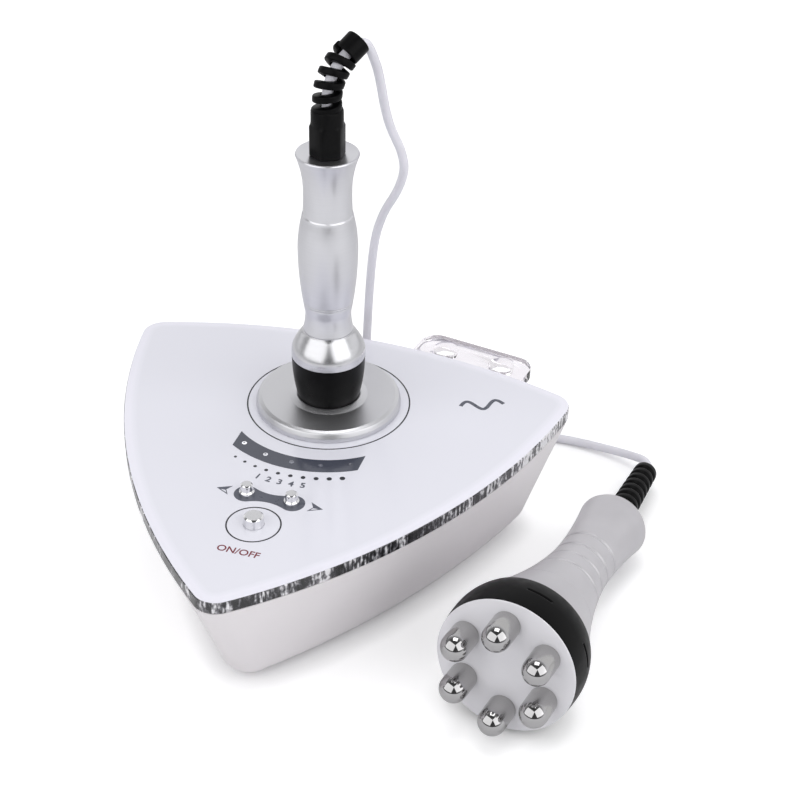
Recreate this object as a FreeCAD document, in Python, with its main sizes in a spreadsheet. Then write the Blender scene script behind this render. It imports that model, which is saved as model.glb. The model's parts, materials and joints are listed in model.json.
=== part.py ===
import FreeCAD, Part
import math
import os
import Sketcher

# Skin tightening device: a triangular console with a wand standing in a round holder
# and a six-pole handpiece lying beside it. Millimetres, +Z up, table top at z = 0.
# The front corner of the console points to -Y.

V = FreeCAD.Vector
doc = FreeCAD.newDocument("SkinTighteningDevice")

SIZES = [
    # Place of the console centre in the object's frame
    ("console_x", -22.0),
    ("console_y", 12.0),
    # Console outline: a triangle with rounded corners and bulging sides
    ("corner_distance", 115.7),
    ("corner_radius", 11.0),
    ("side_radius", 310.0),
    # Lower case
    ("foot_height", 1.5),
    ("case_height", 66.7),
    ("case_wall", 2.4),
    ("base_corner_distance", 88.3),
    ("base_corner_radius", 13.8),
    ("base_side_radius", 465.0),
    ("base_shift", 9.5),
    ("base_rounding", 15.0),
    ("case_overcut", 1.0),
    # Feet
    ("foot_radius", 7.0),
    ("foot_recess", 1.0),
    ("foot_front_y", -64.0),
    ("foot_rear_x", 50.0),
    ("foot_rear_y", 50.0),
    # Screw posts, screws and inserts that hold the plate down
    ("post_radius", 4.6),
    ("post_front_x", 22.0),
    ("post_front_y", -46.0),
    ("post_rear_x", 62.0),
    ("post_rear_y", 42.0),
    ("post_sink", 1.5),
    ("case_screw_radius", 1.5),
    ("case_screw_head_radius", 2.8),
    ("case_screw_head_height", 2.2),
    ("case_screw_land", 10.0),
    ("insert_radius", 2.6),
    ("insert_length", 4.0),
    ("screw_gap", 0.15),
    ("head_gap", 0.4),
    ("press_gap", 0.03),
    # Clear plate with its rear tab
    ("plate_thickness", 6.0),
    ("tab_angle", -9.9),
    ("tab_x", 57.3),
    ("tab_y", 98.7),
    ("tab_half_width", 30.0),
    ("tab_depth", 34.0),
    ("tab_corner_radius", 9.0),
    ("tab_hole_radius", 6.2),
    ("tab_hole_half_spacing", 15.5),
    ("tab_hole_depth", 10.5),
    # White printed panel on the plate
    ("panel_thickness", 0.8),
    ("panel_margin", 0.3),
    ("window_inner_radius", 47.6),
    ("window_outer_radius", 56.8),
    ("window_half_width", 30.6),
    ("window_gap", 0.1),
    # Wand holder: turned disc with a cup
    ("holder_y", 26.0),
    ("holder_radius", 34.7),
    ("holder_bevel", 2.2),
    ("holder_rim_height", 5.4),
    ("holder_edge_height", 2.2),
    ("holder_dish_height", 5.1),
    ("lip_radius", 16.2),
    ("lip_height", 6.1),
    ("cup_radius", 15.0),
    ("cup_wall", 2.6),
    ("cup_depth", 5.0),
    ("cup_skirt", 12.5),
    ("cup_hole_gap", 0.3),
    ("holder_nut_radius", 22.5),
    ("holder_nut_height", 4.0),
    # Buttons: a power key and two intensity keys
    ("power_y", -73.3),
    ("power_radius", 4.6),
    ("power_rise", 5.0),
    ("key_x", 10.6),
    ("key_y", -54.5),
    ("key_radius", 2.75),
    ("key_skirt_radius", 3.5),
    ("key_skirt_rise", 2.0),
    ("key_rise", 6.0),
    ("button_edge", 0.6),
    ("button_gap", 0.3),
    ("button_flange", 1.2),
    ("button_flange_height", 1.0),
    ("stem_radius", 1.5),
    ("stem_length", 3.6),
    # Control board under the plate, with switches and lamps
    ("board_gap", 9.5),
    ("board_thickness", 1.6),
    ("board_half_width", 32.0),
    ("board_rear_y", -12.0),
    ("board_step_y", -34.0),
    ("board_stem_half_width", 16.5),
    ("board_front_y", -84.0),
    ("switch_side", 10.0),
    ("switch_height", 5.4),
    ("lamp_radius", 1.5),
    ("lamp_ring_radius", 51.8),
    ("lamp_step", 15.0),
    ("standoff_radius", 2.5),
    ("standoff_rear_x", 29.0),
    ("standoff_rear_y", -15.0),
    ("standoff_front_x", 12.5),
    ("standoff_front_y", -81.0),
    ("board_screw_radius", 1.2),
    ("board_screw_head_radius", 2.2),
    ("board_screw_head_height", 1.6),
    ("board_screw_length", 6.0),
    # Main board on the case floor
    ("main_post_radius", 3.0),
    ("main_post_height", 6.0),
    ("main_board_y", 14.0),
    ("main_board_half_width", 42.0),
    ("main_board_half_depth", 26.0),
    ("main_screw_inset", 4.5),
    ("core_width", 30.0),
    ("core_depth", 26.0),
    ("core_height", 22.0),
    ("core_limb", 5.5),
    ("winding_gap", 0.4),
    ("core_x", -18.0),
    ("sink_x", 20.0),
    ("sink_y", 4.0),
    ("sink_width", 34.0),
    ("sink_depth", 16.0),
    ("sink_height", 24.0),
    ("sink_base", 3.0),
    ("sink_fin", 2.0),
    ("sink_fin_pitch", 6.4),
    ("sink_fins", 6.0),
    ("transistor_width", 15.0),
    ("transistor_depth", 4.5),
    ("transistor_height", 18.0),
    # Rear sockets, power inlet and plugs
    ("socket_x", 34.0),
    ("socket_height", 18.0),
    ("boss_radius", 10.0),
    ("boss_stand", 2.45),
    ("boss_depth", 11.5),
    ("socket_bore", 6.2),
    ("socket_gap", 0.15),
    ("socket_flange_radius", 9.0),
    ("socket_flange", 2.0),
    ("socket_nose_radius", 6.5),
    ("socket_nose_length", 7.0),
    ("socket_barrel_length", 17.0),
    ("socket_nut_radius", 8.6),
    ("socket_nut_height", 3.0),
    ("inlet_boss_radius", 8.0),
    ("inlet_bore", 5.6),
    ("inlet_flange_radius", 7.2),
    ("inlet_hole_radius", 2.8),
    ("inlet_pin_radius", 1.0),
    ("inlet_hole_depth", 9.0),
    ("plug_radius", 5.2),
    ("plug_collar_radius", 6.4),
    ("plug_collar", 1.5),
    ("plug_length", 16.0),
    ("plug_tail_radius", 3.4),
    ("plug_gap", 0.3),
    ("sleeve_radius", 8.0),
    ("sleeve_length", 13.0),
    # Wand: collar and shoulder heights above the panel top, then each height from the level before it
    ("wand_seat_gap", 0.05),
    ("tip_radius", 14.4),
    ("tip_rounding", 2.0),
    ("collar_base_radius", 14.7),
    ("collar_base_height", 6.3),
    ("collar_radius", 17.4),
    ("collar_height", 27.7),
    ("shoulder_radius", 17.5),
    ("shoulder_lip_height", 32.2),
    ("shoulder_neck_radius", 11.7),
    ("shoulder_height", 42.4),
    ("waist_radius", 10.7),
    ("waist_height", 9.1),
    ("bulge_radius", 13.8),
    ("bulge_height", 33.0),
    ("crease_radius", 11.65),
    ("crease_height", 17.8),
    ("throat_radius", 10.97),
    ("throat_height", 11.4),
    ("flange_radius", 14.3),
    ("flange_height", 18.8),
    ("flange_edge", 0.8),
    ("wand_bore", 6.0),
    ("core_rod_radius", 5.9),
    ("core_rod_base", -1.0),
    ("core_rod_top", 70.0),
    # Cable gland on the wand, its spiral guard and the guard's end cap
    ("gland_corner_radius", 8.4),
    ("gland_hex_height", 14.2),
    ("gland_neck_radius", 7.4),
    ("gland_height", 23.2),
    ("gland_nose_radius", 5.8),
    ("gland_nose_length", 8.0),
    ("gland_cup_radius", 6.8),
    ("gland_cup_depth", 3.6),
    ("guard_azimuth", 54.8),
    ("guard_straight", 1.5),
    ("guard_bend_radius", 22.1),
    ("guard_bend_angle", 56.4),
    ("guard_coil_radius", 5.0),
    ("guard_wire", 2.9),
    ("guard_turns", 4.0),
    ("guard_ease", 0.22),
    ("guard_turn_in", 1.4),
    ("cap_radius", 5.85),
    ("cap_length", 8.8),
    ("cap_edge", 0.8),
    # Cords
    ("cord_diameter", 4.4),
    ("cord_bore_gap", 0.3),
    ("coil_radius", 30.0),
    ("coil_pitch", 5.0),
    ("coil_layer", 4.9),
    ("coil_y", 145.0),
    ("wand_coil_laps", 5.0),
    ("hand_coil_laps", 6.0),
    ("tie_thickness", 1.0),
    ("tie_width", 10.0),
    ("tie_gap", 0.3),
    # Handpiece, lengths along its axis from the front face
    ("hand_x", 95.5),
    ("hand_y", -70.5),
    ("hand_heading", 80.3),
    ("face_radius", 32.4),
    ("face_thickness", 8.0),
    ("face_edge", 1.2),
    ("face_rim", 2.0),
    ("face_step", 2.4),
    ("bumper_front_radius", 32.1),
    ("bumper_station", 11.2),
    ("bumper_radius", 32.9),
    ("bumper_back", 24.5),
    ("bumper_back_radius", 30.0),
    ("bumper_wall", 3.4),
    ("grip_start_radius", 29.2),
    ("grip_waist_station", 94.0),
    ("grip_waist_radius", 14.4),
    ("grip_tail_station", 133.0),
    ("grip_tail_radius", 17.4),
    ("grip_dome", 8.0),
    ("grip_dome_radius", 11.0),
    ("grip_wall", 2.4),
    ("grip_mouth", 8.15),
    ("groove_first", 66.4),
    ("groove_step", 10.5),
    ("groove_count", 4.0),
    ("groove_radius", 0.55),
    ("pole_radius", 6.45),
    ("pole_circle", 21.6),
    ("pole_reach", 11.25),
    ("pole_phase", 26.3),
    ("pole_stud_radius", 2.0),
    ("pole_stud_length", 12.5),
    ("carrier_gap", 1.0),
    ("carrier_thickness", 2.0),
    ("relief_lean", 3.5),
    ("relief_pivot", 136.1),
    ("relief_root", 3.9),
    ("relief_root_radius", 9.9),
    ("relief_root_length", 4.0),
    ("relief_base_radius", 7.45),
    ("relief_tip_radius", 6.05),
    ("relief_length", 56.0),
    ("relief_ribs", 7.0),
    ("relief_groove", 1.1),
    ("relief_tip_edge", 1.4),
    ("fit_gap", 0.1),
]

sheet = doc.addObject("Spreadsheet::Sheet", "Dimensions")
for row, (alias, first_value) in enumerate(SIZES, 1):
    sheet.set("A%d" % row, alias)
    sheet.set("B%d" % row, str(first_value))
    sheet.setAlias("B%d" % row, alias)
doc.recompute()


class Size:
    """A length or an angle: its spreadsheet expression beside its present value."""

    def __init__(self, text, value):
        self.text = text
        self.value = value

    def __add__(self, other):
        other = as_size(other)
        return Size("(%s + %s)" % (self.text, other.text), self.value + other.value)

    def __radd__(self, other):
        return as_size(other) + self

    def __sub__(self, other):
        other = as_size(other)
        return Size("(%s - %s)" % (self.text, other.text), self.value - other.value)

    def __rsub__(self, other):
        return as_size(other) - self

    def __mul__(self, other):
        other = as_size(other)
        return Size("(%s * %s)" % (self.text, other.text), self.value * other.value)

    def __rmul__(self, other):
        return as_size(other) * self

    def __truediv__(self, other):
        other = as_size(other)
        return Size("(%s / %s)" % (self.text, other.text), self.value / other.value)

    def __neg__(self):
        return Size("(0 - %s)" % self.text, -self.value)


def as_size(value):
    if isinstance(value, Size):
        return value
    return Size("%.9g" % value, float(value))


def d(alias):
    """The named size from the spreadsheet."""
    return Size("Dimensions." + alias, float(sheet.get(alias)))


def cosine(angle):
    return Size("cos(%s * 1 deg)" % angle.text, math.cos(math.radians(angle.value)))


def sine(angle):
    return Size("sin(%s * 1 deg)" % angle.text, math.sin(math.radians(angle.value)))


def root(size):
    return Size("sqrt(%s)" % size.text, math.sqrt(size.value))


def bulge(across, along):
    """Radius of an arc that starts square and then falls off by across over along."""
    return (across * across + along * along) / (across * 2)


NODES = {}


def node(label, piece):
    """Give a finished sub-part its name."""
    piece.Label = label
    NODES[label] = piece
    return piece


def bind(piece, prop, size):
    piece.setExpression(prop, as_size(size).text)


def put(piece, place):
    for axis, size in zip("xyz", place):
        bind(piece, ".Placement.Base." + axis, size)


def on_console(x, y, z):
    """A place given from the console's centre, as a place in the object's frame."""
    return d("console_x") + x, d("console_y") + y, as_size(z)


# Heights in the console stack, from the table up
case_base = d("foot_height")
case_top = case_base + d("case_height")
plate_top = case_top + d("plate_thickness")
panel_top = plate_top + d("panel_thickness")
floor_top = case_base + d("case_wall")
TO_REAR = FreeCAD.Rotation(V(1, 0, 0), -90)


def box(low, size):
    piece = doc.addObject("Part::Box", "Block")
    for prop, length in zip(("Length", "Width", "Height"), size):
        bind(piece, prop, length)
    put(piece, low)
    return piece


def cylinder(radius, height, base, rotation=None):
    piece = doc.addObject("Part::Cylinder", "Rod")
    bind(piece, "Radius", radius)
    bind(piece, "Height", height)
    if rotation is not None:
        piece.Placement = FreeCAD.Placement(V(0, 0, 0), rotation)
    put(piece, base)
    return piece


def fuse(pieces):
    piece = doc.addObject("Part::MultiFuse", "Union")
    piece.Shapes = pieces
    return piece


def cut(base, tool):
    piece = doc.addObject("Part::Cut", "Cut")
    piece.Base = base
    piece.Tool = tool
    return piece


def common(base, tool):
    piece = doc.addObject("Part::Common", "Overlap")
    piece.Base = base
    piece.Tool = tool
    return piece


def group(pieces):
    piece = doc.addObject("Part::Compound", "Set")
    piece.Links = pieces
    return piece


def new_body(name, place=None, rotation=None):
    body = doc.addObject("PartDesign::Body", name)
    if rotation is not None:
        body.Placement = FreeCAD.Placement(V(0, 0, 0), rotation)
    if place is not None:
        put(body, place)
    return body


def new_sketch(body, name, role, height=None):
    sketch = body.newObject("Sketcher::SketchObject", name)
    plane = [part for part in body.Origin.OriginFeatures if part.Role == role][0]
    sketch.AttachmentSupport = [(plane, "")]
    sketch.MapMode = "FlatFace"
    if height is not None:
        bind(sketch, ".AttachmentOffset.Base.z", height)
    return sketch


def dimension(sketch, kind, *members):
    """Add a driving dimension whose last member is a Size."""
    size = members[-1]
    index = sketch.addConstraint(Sketcher.Constraint(kind, *members[:-1], size.value))
    sketch.setExpression("Constraints[%d]" % index, size.text)


def pin_down(sketch, geometry, end, x, y):
    """Fix one point of a sketch at x, y from the sketch's origin."""
    dimension(sketch, "DistanceX", -1, 1, geometry, end, x)
    dimension(sketch, "DistanceY", -1, 1, geometry, end, y)


def arc_between(start, end, radius, turn):
    """The smaller arc from start to end, counterclockwise if turn is 1."""
    middle = (start + end) * 0.5
    chord = end - start
    left = V(-chord.y, chord.x, 0)
    left.normalize()
    rise = math.sqrt(radius ** 2 - (chord.Length / 2) ** 2)
    centre = middle + left * (rise * turn)
    circle = Part.Circle(centre, V(0, 0, 1), radius)
    first, last = (start, end) if turn > 0 else (end, start)
    angles = [math.atan2(point.y - centre.y, point.x - centre.x) for point in (first, last)]
    if angles[1] < angles[0]:
        angles[1] += 2 * math.pi
    return Part.ArcOfCircle(circle, angles[0], angles[1])


def draw_profile(sketch, corners, arcs):
    """A closed outline: corners are pairs of sizes, arcs maps a side to (radius, turn)."""
    corners = [(as_size(x), as_size(y)) for x, y in corners]
    points = [V(x.value, y.value, 0) for x, y in corners]
    count = len(points)
    ends = []
    for side in range(count):
        start = points[side]
        end = points[(side + 1) % count]
        if side in arcs:
            radius, turn = arcs[side]
            sketch.addGeometry(arc_between(start, end, radius.value, turn), False)
            ends.append((1, 2) if turn > 0 else (2, 1))
        else:
            sketch.addGeometry(Part.LineSegment(start, end), False)
            ends.append((1, 2))
    for side in range(count):
        after = (side + 1) % count
        joint = (side, ends[side][1], after, ends[after][0])
        sketch.addConstraint(Sketcher.Constraint("Coincident", *joint))
        pin_down(sketch, side, ends[side][0], *corners[side])
        if side in arcs:
            dimension(sketch, "Radius", side, arcs[side][0])


def revolve(body, corners, arcs=None):
    """Turn a profile of (radius, height) corners about the body's own Z axis."""
    sketch = new_sketch(body, "Profile", "XZ_Plane")
    draw_profile(sketch, corners, arcs or {})
    turned = body.newObject("PartDesign::Revolution", "Turned")
    turned.Profile = sketch
    turned.ReferenceAxis = (sketch, ["V_Axis"])
    turned.Angle = 360.0
    return body


def turned_piece(name, corners, arcs=None, place=None, rotation=None):
    return revolve(new_body(name, place, rotation), corners, arcs)


def spoke(angle):
    """Flat unit vector at an angle in degrees."""
    return V(math.cos(math.radians(angle)), math.sin(math.radians(angle)), 0)


HALF_ROOT = math.cos(math.pi / 6)


def triangle(sketch, distance, corner, side, shift):
    """Draw the console outline: three corner arcs joined by three bulging sides."""
    shift = as_size(shift)
    reach = math.sqrt((side.value - corner.value) ** 2 - (distance.value * HALF_ROOT) ** 2)
    back_off = reach - distance.value / 2
    for index in range(3):
        corner_angle = -90 + 120 * index
        centre = spoke(corner_angle) * distance.value
        after = spoke(corner_angle + 120) * distance.value
        hub_before = spoke(corner_angle - 60) * -back_off
        hub = spoke(corner_angle + 60) * -back_off
        turns = []
        for start, end in ((hub_before, centre), (hub, centre), (hub, after)):
            turns.append(math.atan2(end.y - start.y, end.x - start.x))
        for later in (1, 2):
            while turns[later] < turns[later - 1]:
                turns[later] += 2 * math.pi
        lift = V(0, shift.value, 0)
        rounded = Part.Circle(centre + lift, V(0, 0, 1), corner.value)
        sketch.addGeometry(Part.ArcOfCircle(rounded, turns[0], turns[1]), False)
        bowed = Part.Circle(hub + lift, V(0, 0, 1), side.value)
        sketch.addGeometry(Part.ArcOfCircle(bowed, turns[1], turns[2]), False)
    for index in range(6):
        sketch.addConstraint(Sketcher.Constraint("Tangent", index, 2, (index + 1) % 6, 1))
    places = ((0, -1), (HALF_ROOT, 0.5), (-HALF_ROOT, 0.5))
    for index, (across, along) in enumerate(places):
        pin_down(sketch, 2 * index, 3, distance * across, distance * along + shift)
        dimension(sketch, "Radius", 2 * index, corner)
        dimension(sketch, "Radius", 2 * index + 1, side)


def hull(name, inset, top):
    """The tapered form of the case, drawn in by inset, with its lower edge rounded."""
    body = new_body(name, on_console(0, 0, 0))
    base = case_base + inset
    lower = new_sketch(body, "LowerOutline", "XY_Plane", base)
    triangle(lower, d("base_corner_distance"), d("base_corner_radius") - inset,
             d("base_side_radius") - inset, d("base_shift"))
    upper = new_sketch(body, "UpperOutline", "XY_Plane", top)
    triangle(upper, d("corner_distance"), d("corner_radius") - inset,
             d("side_radius") - inset, 0)
    loft = body.newObject("PartDesign::AdditiveLoft", "Taper")
    loft.Profile = upper
    loft.Sections = [lower]
    loft.Ruled = True
    doc.recompute()
    edges = []
    for index, edge in enumerate(loft.Shape.Edges, 1):
        if all(abs(vertex.Z - base.value) < 0.01 for vertex in edge.Vertexes):
            edges.append("Edge%d" % index)
    rounding = body.newObject("PartDesign::Fillet", "BaseRounding")
    rounding.Base = (loft, edges)
    bind(rounding, "Radius", d("base_rounding") - inset)
    return body


def rear_reach(distance, corner, side):
    """How far the rear side of an outline stands behind the outline's centre."""
    across = distance * HALF_ROOT
    within = side - corner
    return side - root(within * within - across * across) + distance / 2


def boss_face():
    """Where the rear connectors sit: a little outside the rear wall at their height."""
    low = rear_reach(d("base_corner_distance"), d("base_corner_radius"), d("base_side_radius"))
    low = low + d("base_shift")
    high = rear_reach(d("corner_distance"), d("corner_radius"), d("side_radius"))
    share = (d("socket_height") - case_base) / d("case_height")
    return low + (high - low) * share + d("boss_stand")


def post_places():
    x_front, y_front = d("post_front_x"), d("post_front_y")
    x_rear, y_rear = d("post_rear_x"), d("post_rear_y")
    return [(-x_front, y_front), (x_front, y_front), (-x_rear, y_rear), (x_rear, y_rear)]


def foot_places():
    return [(0, d("foot_front_y")), (-d("foot_rear_x"), d("foot_rear_y")),
            (d("foot_rear_x"), d("foot_rear_y"))]


def main_screw_places():
    across = d("main_board_half_width") - d("main_screw_inset")
    along = d("main_board_half_depth") - d("main_screw_inset")
    middle = d("main_board_y")
    return [(side * across, middle + end * along) for side in (-1, 1) for end in (-1, 1)]


SOCKET_SIDES = (("wand", -1), ("hand", 1))


def make_case():
    shell = cut(hull("CaseForm", 0, case_top),
                hull("CaseHollow", d("case_wall"), case_top + d("case_overcut")))
    solids = [shell]
    drills = []
    sunk = case_base + d("post_sink")
    land_base = case_top - d("case_screw_land")
    for x, y in post_places():
        solids.append(cylinder(d("post_radius"), case_top - sunk, on_console(x, y, sunk)))
        drills.append(cylinder(d("case_screw_head_radius") + d("head_gap"), land_base,
                               on_console(x, y, 0)))
        drills.append(cylinder(d("case_screw_radius") + d("screw_gap"), case_top,
                               on_console(x, y, d("case_overcut"))))
    for x, y in foot_places():
        drills.append(cylinder(d("foot_radius") + d("press_gap"), d("foot_recess"),
                               on_console(x, y, case_base)))
    post_base = floor_top - d("post_sink")
    for x, y in main_screw_places():
        solids.append(cylinder(d("main_post_radius"), d("main_post_height") + d("post_sink"),
                               on_console(x, y, post_base)))
        drills.append(cylinder(d("board_screw_radius") + d("screw_gap"), d("main_post_height"),
                               on_console(x, y, floor_top)))
    bosses = [(side * d("socket_x"), d("boss_radius"), d("socket_bore")) for name, side in SOCKET_SIDES]
    bosses.append((0, d("inlet_boss_radius"), d("inlet_bore")))
    inner_y = boss_face() - d("boss_depth")
    for x, radius, bore in bosses:
        base = on_console(x, inner_y, d("socket_height"))
        solids.append(cylinder(radius, d("boss_depth"), base, TO_REAR))
        drills.append(cylinder(bore, d("boss_depth") + d("case_wall") * 2,
                               on_console(x, inner_y - d("case_wall"), d("socket_height")), TO_REAR))
    node("lower_case", cut(fuse(solids), fuse(drills)))


def make_feet_and_screws():
    feet = []
    for x, y in foot_places():
        feet.append(cylinder(d("foot_radius"), d("foot_height") + d("foot_recess"), on_console(x, y, 0)))
    node("rubber_feet", group(feet))
    screws = []
    inserts = []
    head_base = case_top - d("case_screw_land") - d("case_screw_head_height")
    shank = d("case_screw_land") + d("insert_length") - d("screw_gap")
    for x, y in post_places():
        head = cylinder(d("case_screw_head_radius"), d("case_screw_head_height"),
                        on_console(x, y, head_base))
        rod = cylinder(d("case_screw_radius"), shank,
                       on_console(x, y, case_top - d("case_screw_land")))
        screws.append(fuse([head, rod]))
        outer = cylinder(d("insert_radius"), d("insert_length"), on_console(x, y, case_top))
        inner = cylinder(d("case_screw_radius") + d("screw_gap"), d("insert_length"),
                         on_console(x, y, case_top))
        inserts.append(cut(outer, inner))
    node("case_screws", group(screws))
    node("plate_inserts", group(inserts))


def button_places():
    keys = [("power_button", 0, d("power_y"), d("power_radius"))]
    keys.append(("minus_button", -d("key_x"), d("key_y"), d("key_skirt_radius")))
    keys.append(("plus_button", d("key_x"), d("key_y"), d("key_skirt_radius")))
    return keys


def window_ring(gap):
    """The arc-shaped lamp window through the panel, grown all round by gap."""
    base = on_console(0, d("holder_y"), plate_top)
    outer = cylinder(d("window_outer_radius") + gap, d("panel_thickness"), base)
    inner = cylinder(d("window_inner_radius") - gap, d("panel_thickness"), base)
    half = d("window_half_width") + gap
    low = on_console(-half, d("holder_y") - d("window_outer_radius") - gap, plate_top)
    strip = box(low, (half * 2, d("window_outer_radius"), d("panel_thickness")))
    return common(cut(outer, inner), strip)


def make_plate_and_panel():
    body = new_body("ClearPlate", on_console(0, 0, case_top))
    outline = new_sketch(body, "PlateOutline", "XY_Plane")
    triangle(outline, d("corner_distance"), d("corner_radius"), d("side_radius"), 0)
    slab = body.newObject("PartDesign::Pad", "Slab")
    slab.Profile = outline
    bind(slab, "Length", d("plate_thickness"))
    doc.recompute()
    tab_sketch = new_sketch(body, "TabOutline", "XY_Plane")
    bind(tab_sketch, ".AttachmentOffset.Base.x", d("tab_x"))
    bind(tab_sketch, ".AttachmentOffset.Base.y", d("tab_y"))
    bind(tab_sketch, ".AttachmentOffset.Rotation.Angle", d("tab_angle"))
    half, depth, rounding = d("tab_half_width"), d("tab_depth"), d("tab_corner_radius")
    corners = [(-half, -depth), (half, -depth), (half, -rounding), (half - rounding, 0),
               (rounding - half, 0), (-half, -rounding)]
    draw_profile(tab_sketch, corners, {2: (rounding, 1), 4: (rounding, 1)})
    tab = body.newObject("PartDesign::Pad", "Tab")
    tab.Profile = tab_sketch
    bind(tab, "Length", d("plate_thickness"))
    doc.recompute()
    drills = []
    through = d("plate_thickness") + d("case_overcut") * 2
    below = case_top - d("case_overcut")
    cup = d("cup_radius") + d("cup_wall") + d("cup_hole_gap")
    drills.append(cylinder(cup, through, on_console(0, d("holder_y"), below)))
    for name, x, y, radius in button_places():
        drills.append(cylinder(radius + d("button_gap"), through, on_console(x, y, below)))
    for side in (-1, 1):
        along = d("tab_hole_half_spacing") * side
        across = -d("tab_hole_depth")
        x = d("tab_x") + along * cosine(d("tab_angle")) - across * sine(d("tab_angle"))
        y = d("tab_y") + along * sine(d("tab_angle")) + across * cosine(d("tab_angle"))
        drills.append(cylinder(d("tab_hole_radius"), through, on_console(x, y, below)))
    for x, y in post_places():
        drills.append(cylinder(d("insert_radius") + d("press_gap"), d("insert_length"),
                               on_console(x, y, case_top)))
    node("clear_plate", cut(body, fuse(drills)))

    sheet_body = new_body("PanelSheet", on_console(0, 0, plate_top))
    outline = new_sketch(sheet_body, "PanelOutline", "XY_Plane")
    triangle(outline, d("corner_distance"), d("corner_radius") - d("panel_margin"),
             d("side_radius") - d("panel_margin"), 0)
    sheet_pad = sheet_body.newObject("PartDesign::Pad", "PanelPad")
    sheet_pad.Profile = outline
    bind(sheet_pad, "Length", d("panel_thickness"))
    doc.recompute()
    openings = [cylinder(cup, d("panel_thickness"), on_console(0, d("holder_y"), plate_top))]
    for name, x, y, radius in button_places():
        openings.append(cylinder(radius + d("button_gap"), d("panel_thickness"),
                                 on_console(x, y, plate_top)))
    openings.append(window_ring(d("window_gap")))
    node("top_panel", cut(sheet_body, fuse(openings)))
    node("led_window", window_ring(0))


def make_holder():
    place = on_console(0, d("holder_y"), panel_top)
    cup, wall, outer = d("cup_radius"), d("cup_wall"), d("holder_radius")
    rim = outer - d("holder_bevel")
    thread = cup + wall
    bottom = -d("cup_skirt")
    dish = d("holder_dish_height")
    dish_start = d("lip_radius") + d("lip_height") - dish
    corners = [(0, -d("cup_depth")), (cup, -d("cup_depth")), (cup, d("lip_height")),
               (d("lip_radius"), d("lip_height")), (dish_start, dish),
               (rim, d("holder_rim_height")), (outer, d("holder_edge_height")), (outer, 0),
               (thread, 0), (thread, bottom), (0, bottom)]
    node("holder_disc", turned_piece("HolderDisc", corners, None, place))
    nut_top = -(d("panel_thickness") + d("plate_thickness"))
    nut = [(thread + d("screw_gap"), nut_top - d("holder_nut_height")),
           (d("holder_nut_radius"), nut_top - d("holder_nut_height")),
           (d("holder_nut_radius"), nut_top), (thread + d("screw_gap"), nut_top)]
    node("holder_nut", turned_piece("HolderNut", nut, None, place))


board_top = case_top - d("board_gap")
board_base = board_top - d("board_thickness")
flange_top = case_top - d("press_gap")


def make_buttons():
    flange_base = flange_top - d("button_flange_height")
    stem_end = flange_base - d("stem_length")
    for name, x, y, radius in button_places():
        flange = radius + d("button_flange")
        top = panel_top + (d("power_rise") if name == "power_button" else d("key_rise"))
        edge = d("button_edge")
        corners = [(0, stem_end), (d("stem_radius"), stem_end), (d("stem_radius"), flange_base),
                   (flange, flange_base), (flange, flange_top), (radius, flange_top)]
        if name == "power_button":
            corners += [(radius, top - edge), (radius - edge, top)]
        else:
            skirt_top = panel_top + d("key_skirt_rise")
            corners += [(radius, skirt_top), (d("key_radius"), skirt_top + radius - d("key_radius")),
                        (d("key_radius"), top - edge), (d("key_radius") - edge, top)]
        corners.append((0, top))
        node(name, turned_piece("Button", corners, None, on_console(x, y, 0)))


def standoff_places():
    rear = [(side * d("standoff_rear_x"), d("standoff_rear_y")) for side in (-1, 1)]
    front = [(side * d("standoff_front_x"), d("standoff_front_y")) for side in (-1, 1)]
    return rear + front


def make_control_board():
    half, stem = d("board_half_width"), d("board_stem_half_width")
    wide = box(on_console(-half, d("board_step_y"), board_base),
               (half * 2, d("board_rear_y") - d("board_step_y"), d("board_thickness")))
    narrow = box(on_console(-stem, d("board_front_y"), board_base),
                 (stem * 2, d("board_step_y") - d("board_front_y"), d("board_thickness")))
    holes = []
    standoffs = []
    screws = []
    hole = d("board_screw_radius") + d("screw_gap")
    head_base = board_base - d("board_screw_head_height")
    for x, y in standoff_places():
        holes.append(cylinder(hole, d("board_thickness"), on_console(x, y, board_base)))
        outer = cylinder(d("standoff_radius"), d("board_gap"), on_console(x, y, board_top))
        inner = cylinder(hole, d("board_gap"), on_console(x, y, board_top))
        standoffs.append(cut(outer, inner))
        head = cylinder(d("board_screw_head_radius"), d("board_screw_head_height"),
                        on_console(x, y, head_base))
        rod = cylinder(d("board_screw_radius"), d("board_screw_length"), on_console(x, y, board_base))
        screws.append(fuse([head, rod]))
    node("control_board", cut(fuse([wide, narrow]), fuse(holes)))
    node("board_standoffs", group(standoffs))
    node("board_screws", group(screws))

    switches = []
    side = d("switch_side")
    for name, x, y, radius in button_places():
        case = box(on_console(x - side / 2, y - side / 2, board_top), (side, side, d("switch_height")))
        bore = cylinder(d("stem_radius") + d("button_gap"), d("switch_height"),
                        on_console(x, y, board_top + d("board_thickness")))
        switches.append(cut(case, bore))
    node("push_switches", group(switches))

    lamps = []
    for index in range(-2, 3):
        angle = d("lamp_step") * index
        x = d("lamp_ring_radius") * sine(angle)
        y = d("holder_y") - d("lamp_ring_radius") * cosine(angle)
        barrel = d("board_gap") - d("lamp_radius") - d("press_gap")
        corners = [(0, 0), (d("lamp_radius"), 0), (d("lamp_radius"), barrel),
                   (0, barrel + d("lamp_radius"))]
        lamps.append(turned_piece("Lamp", corners, {2: (d("lamp_radius"), 1)}, on_console(x, y, board_top)))
    node("indicator_lamps", group(lamps))


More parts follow.
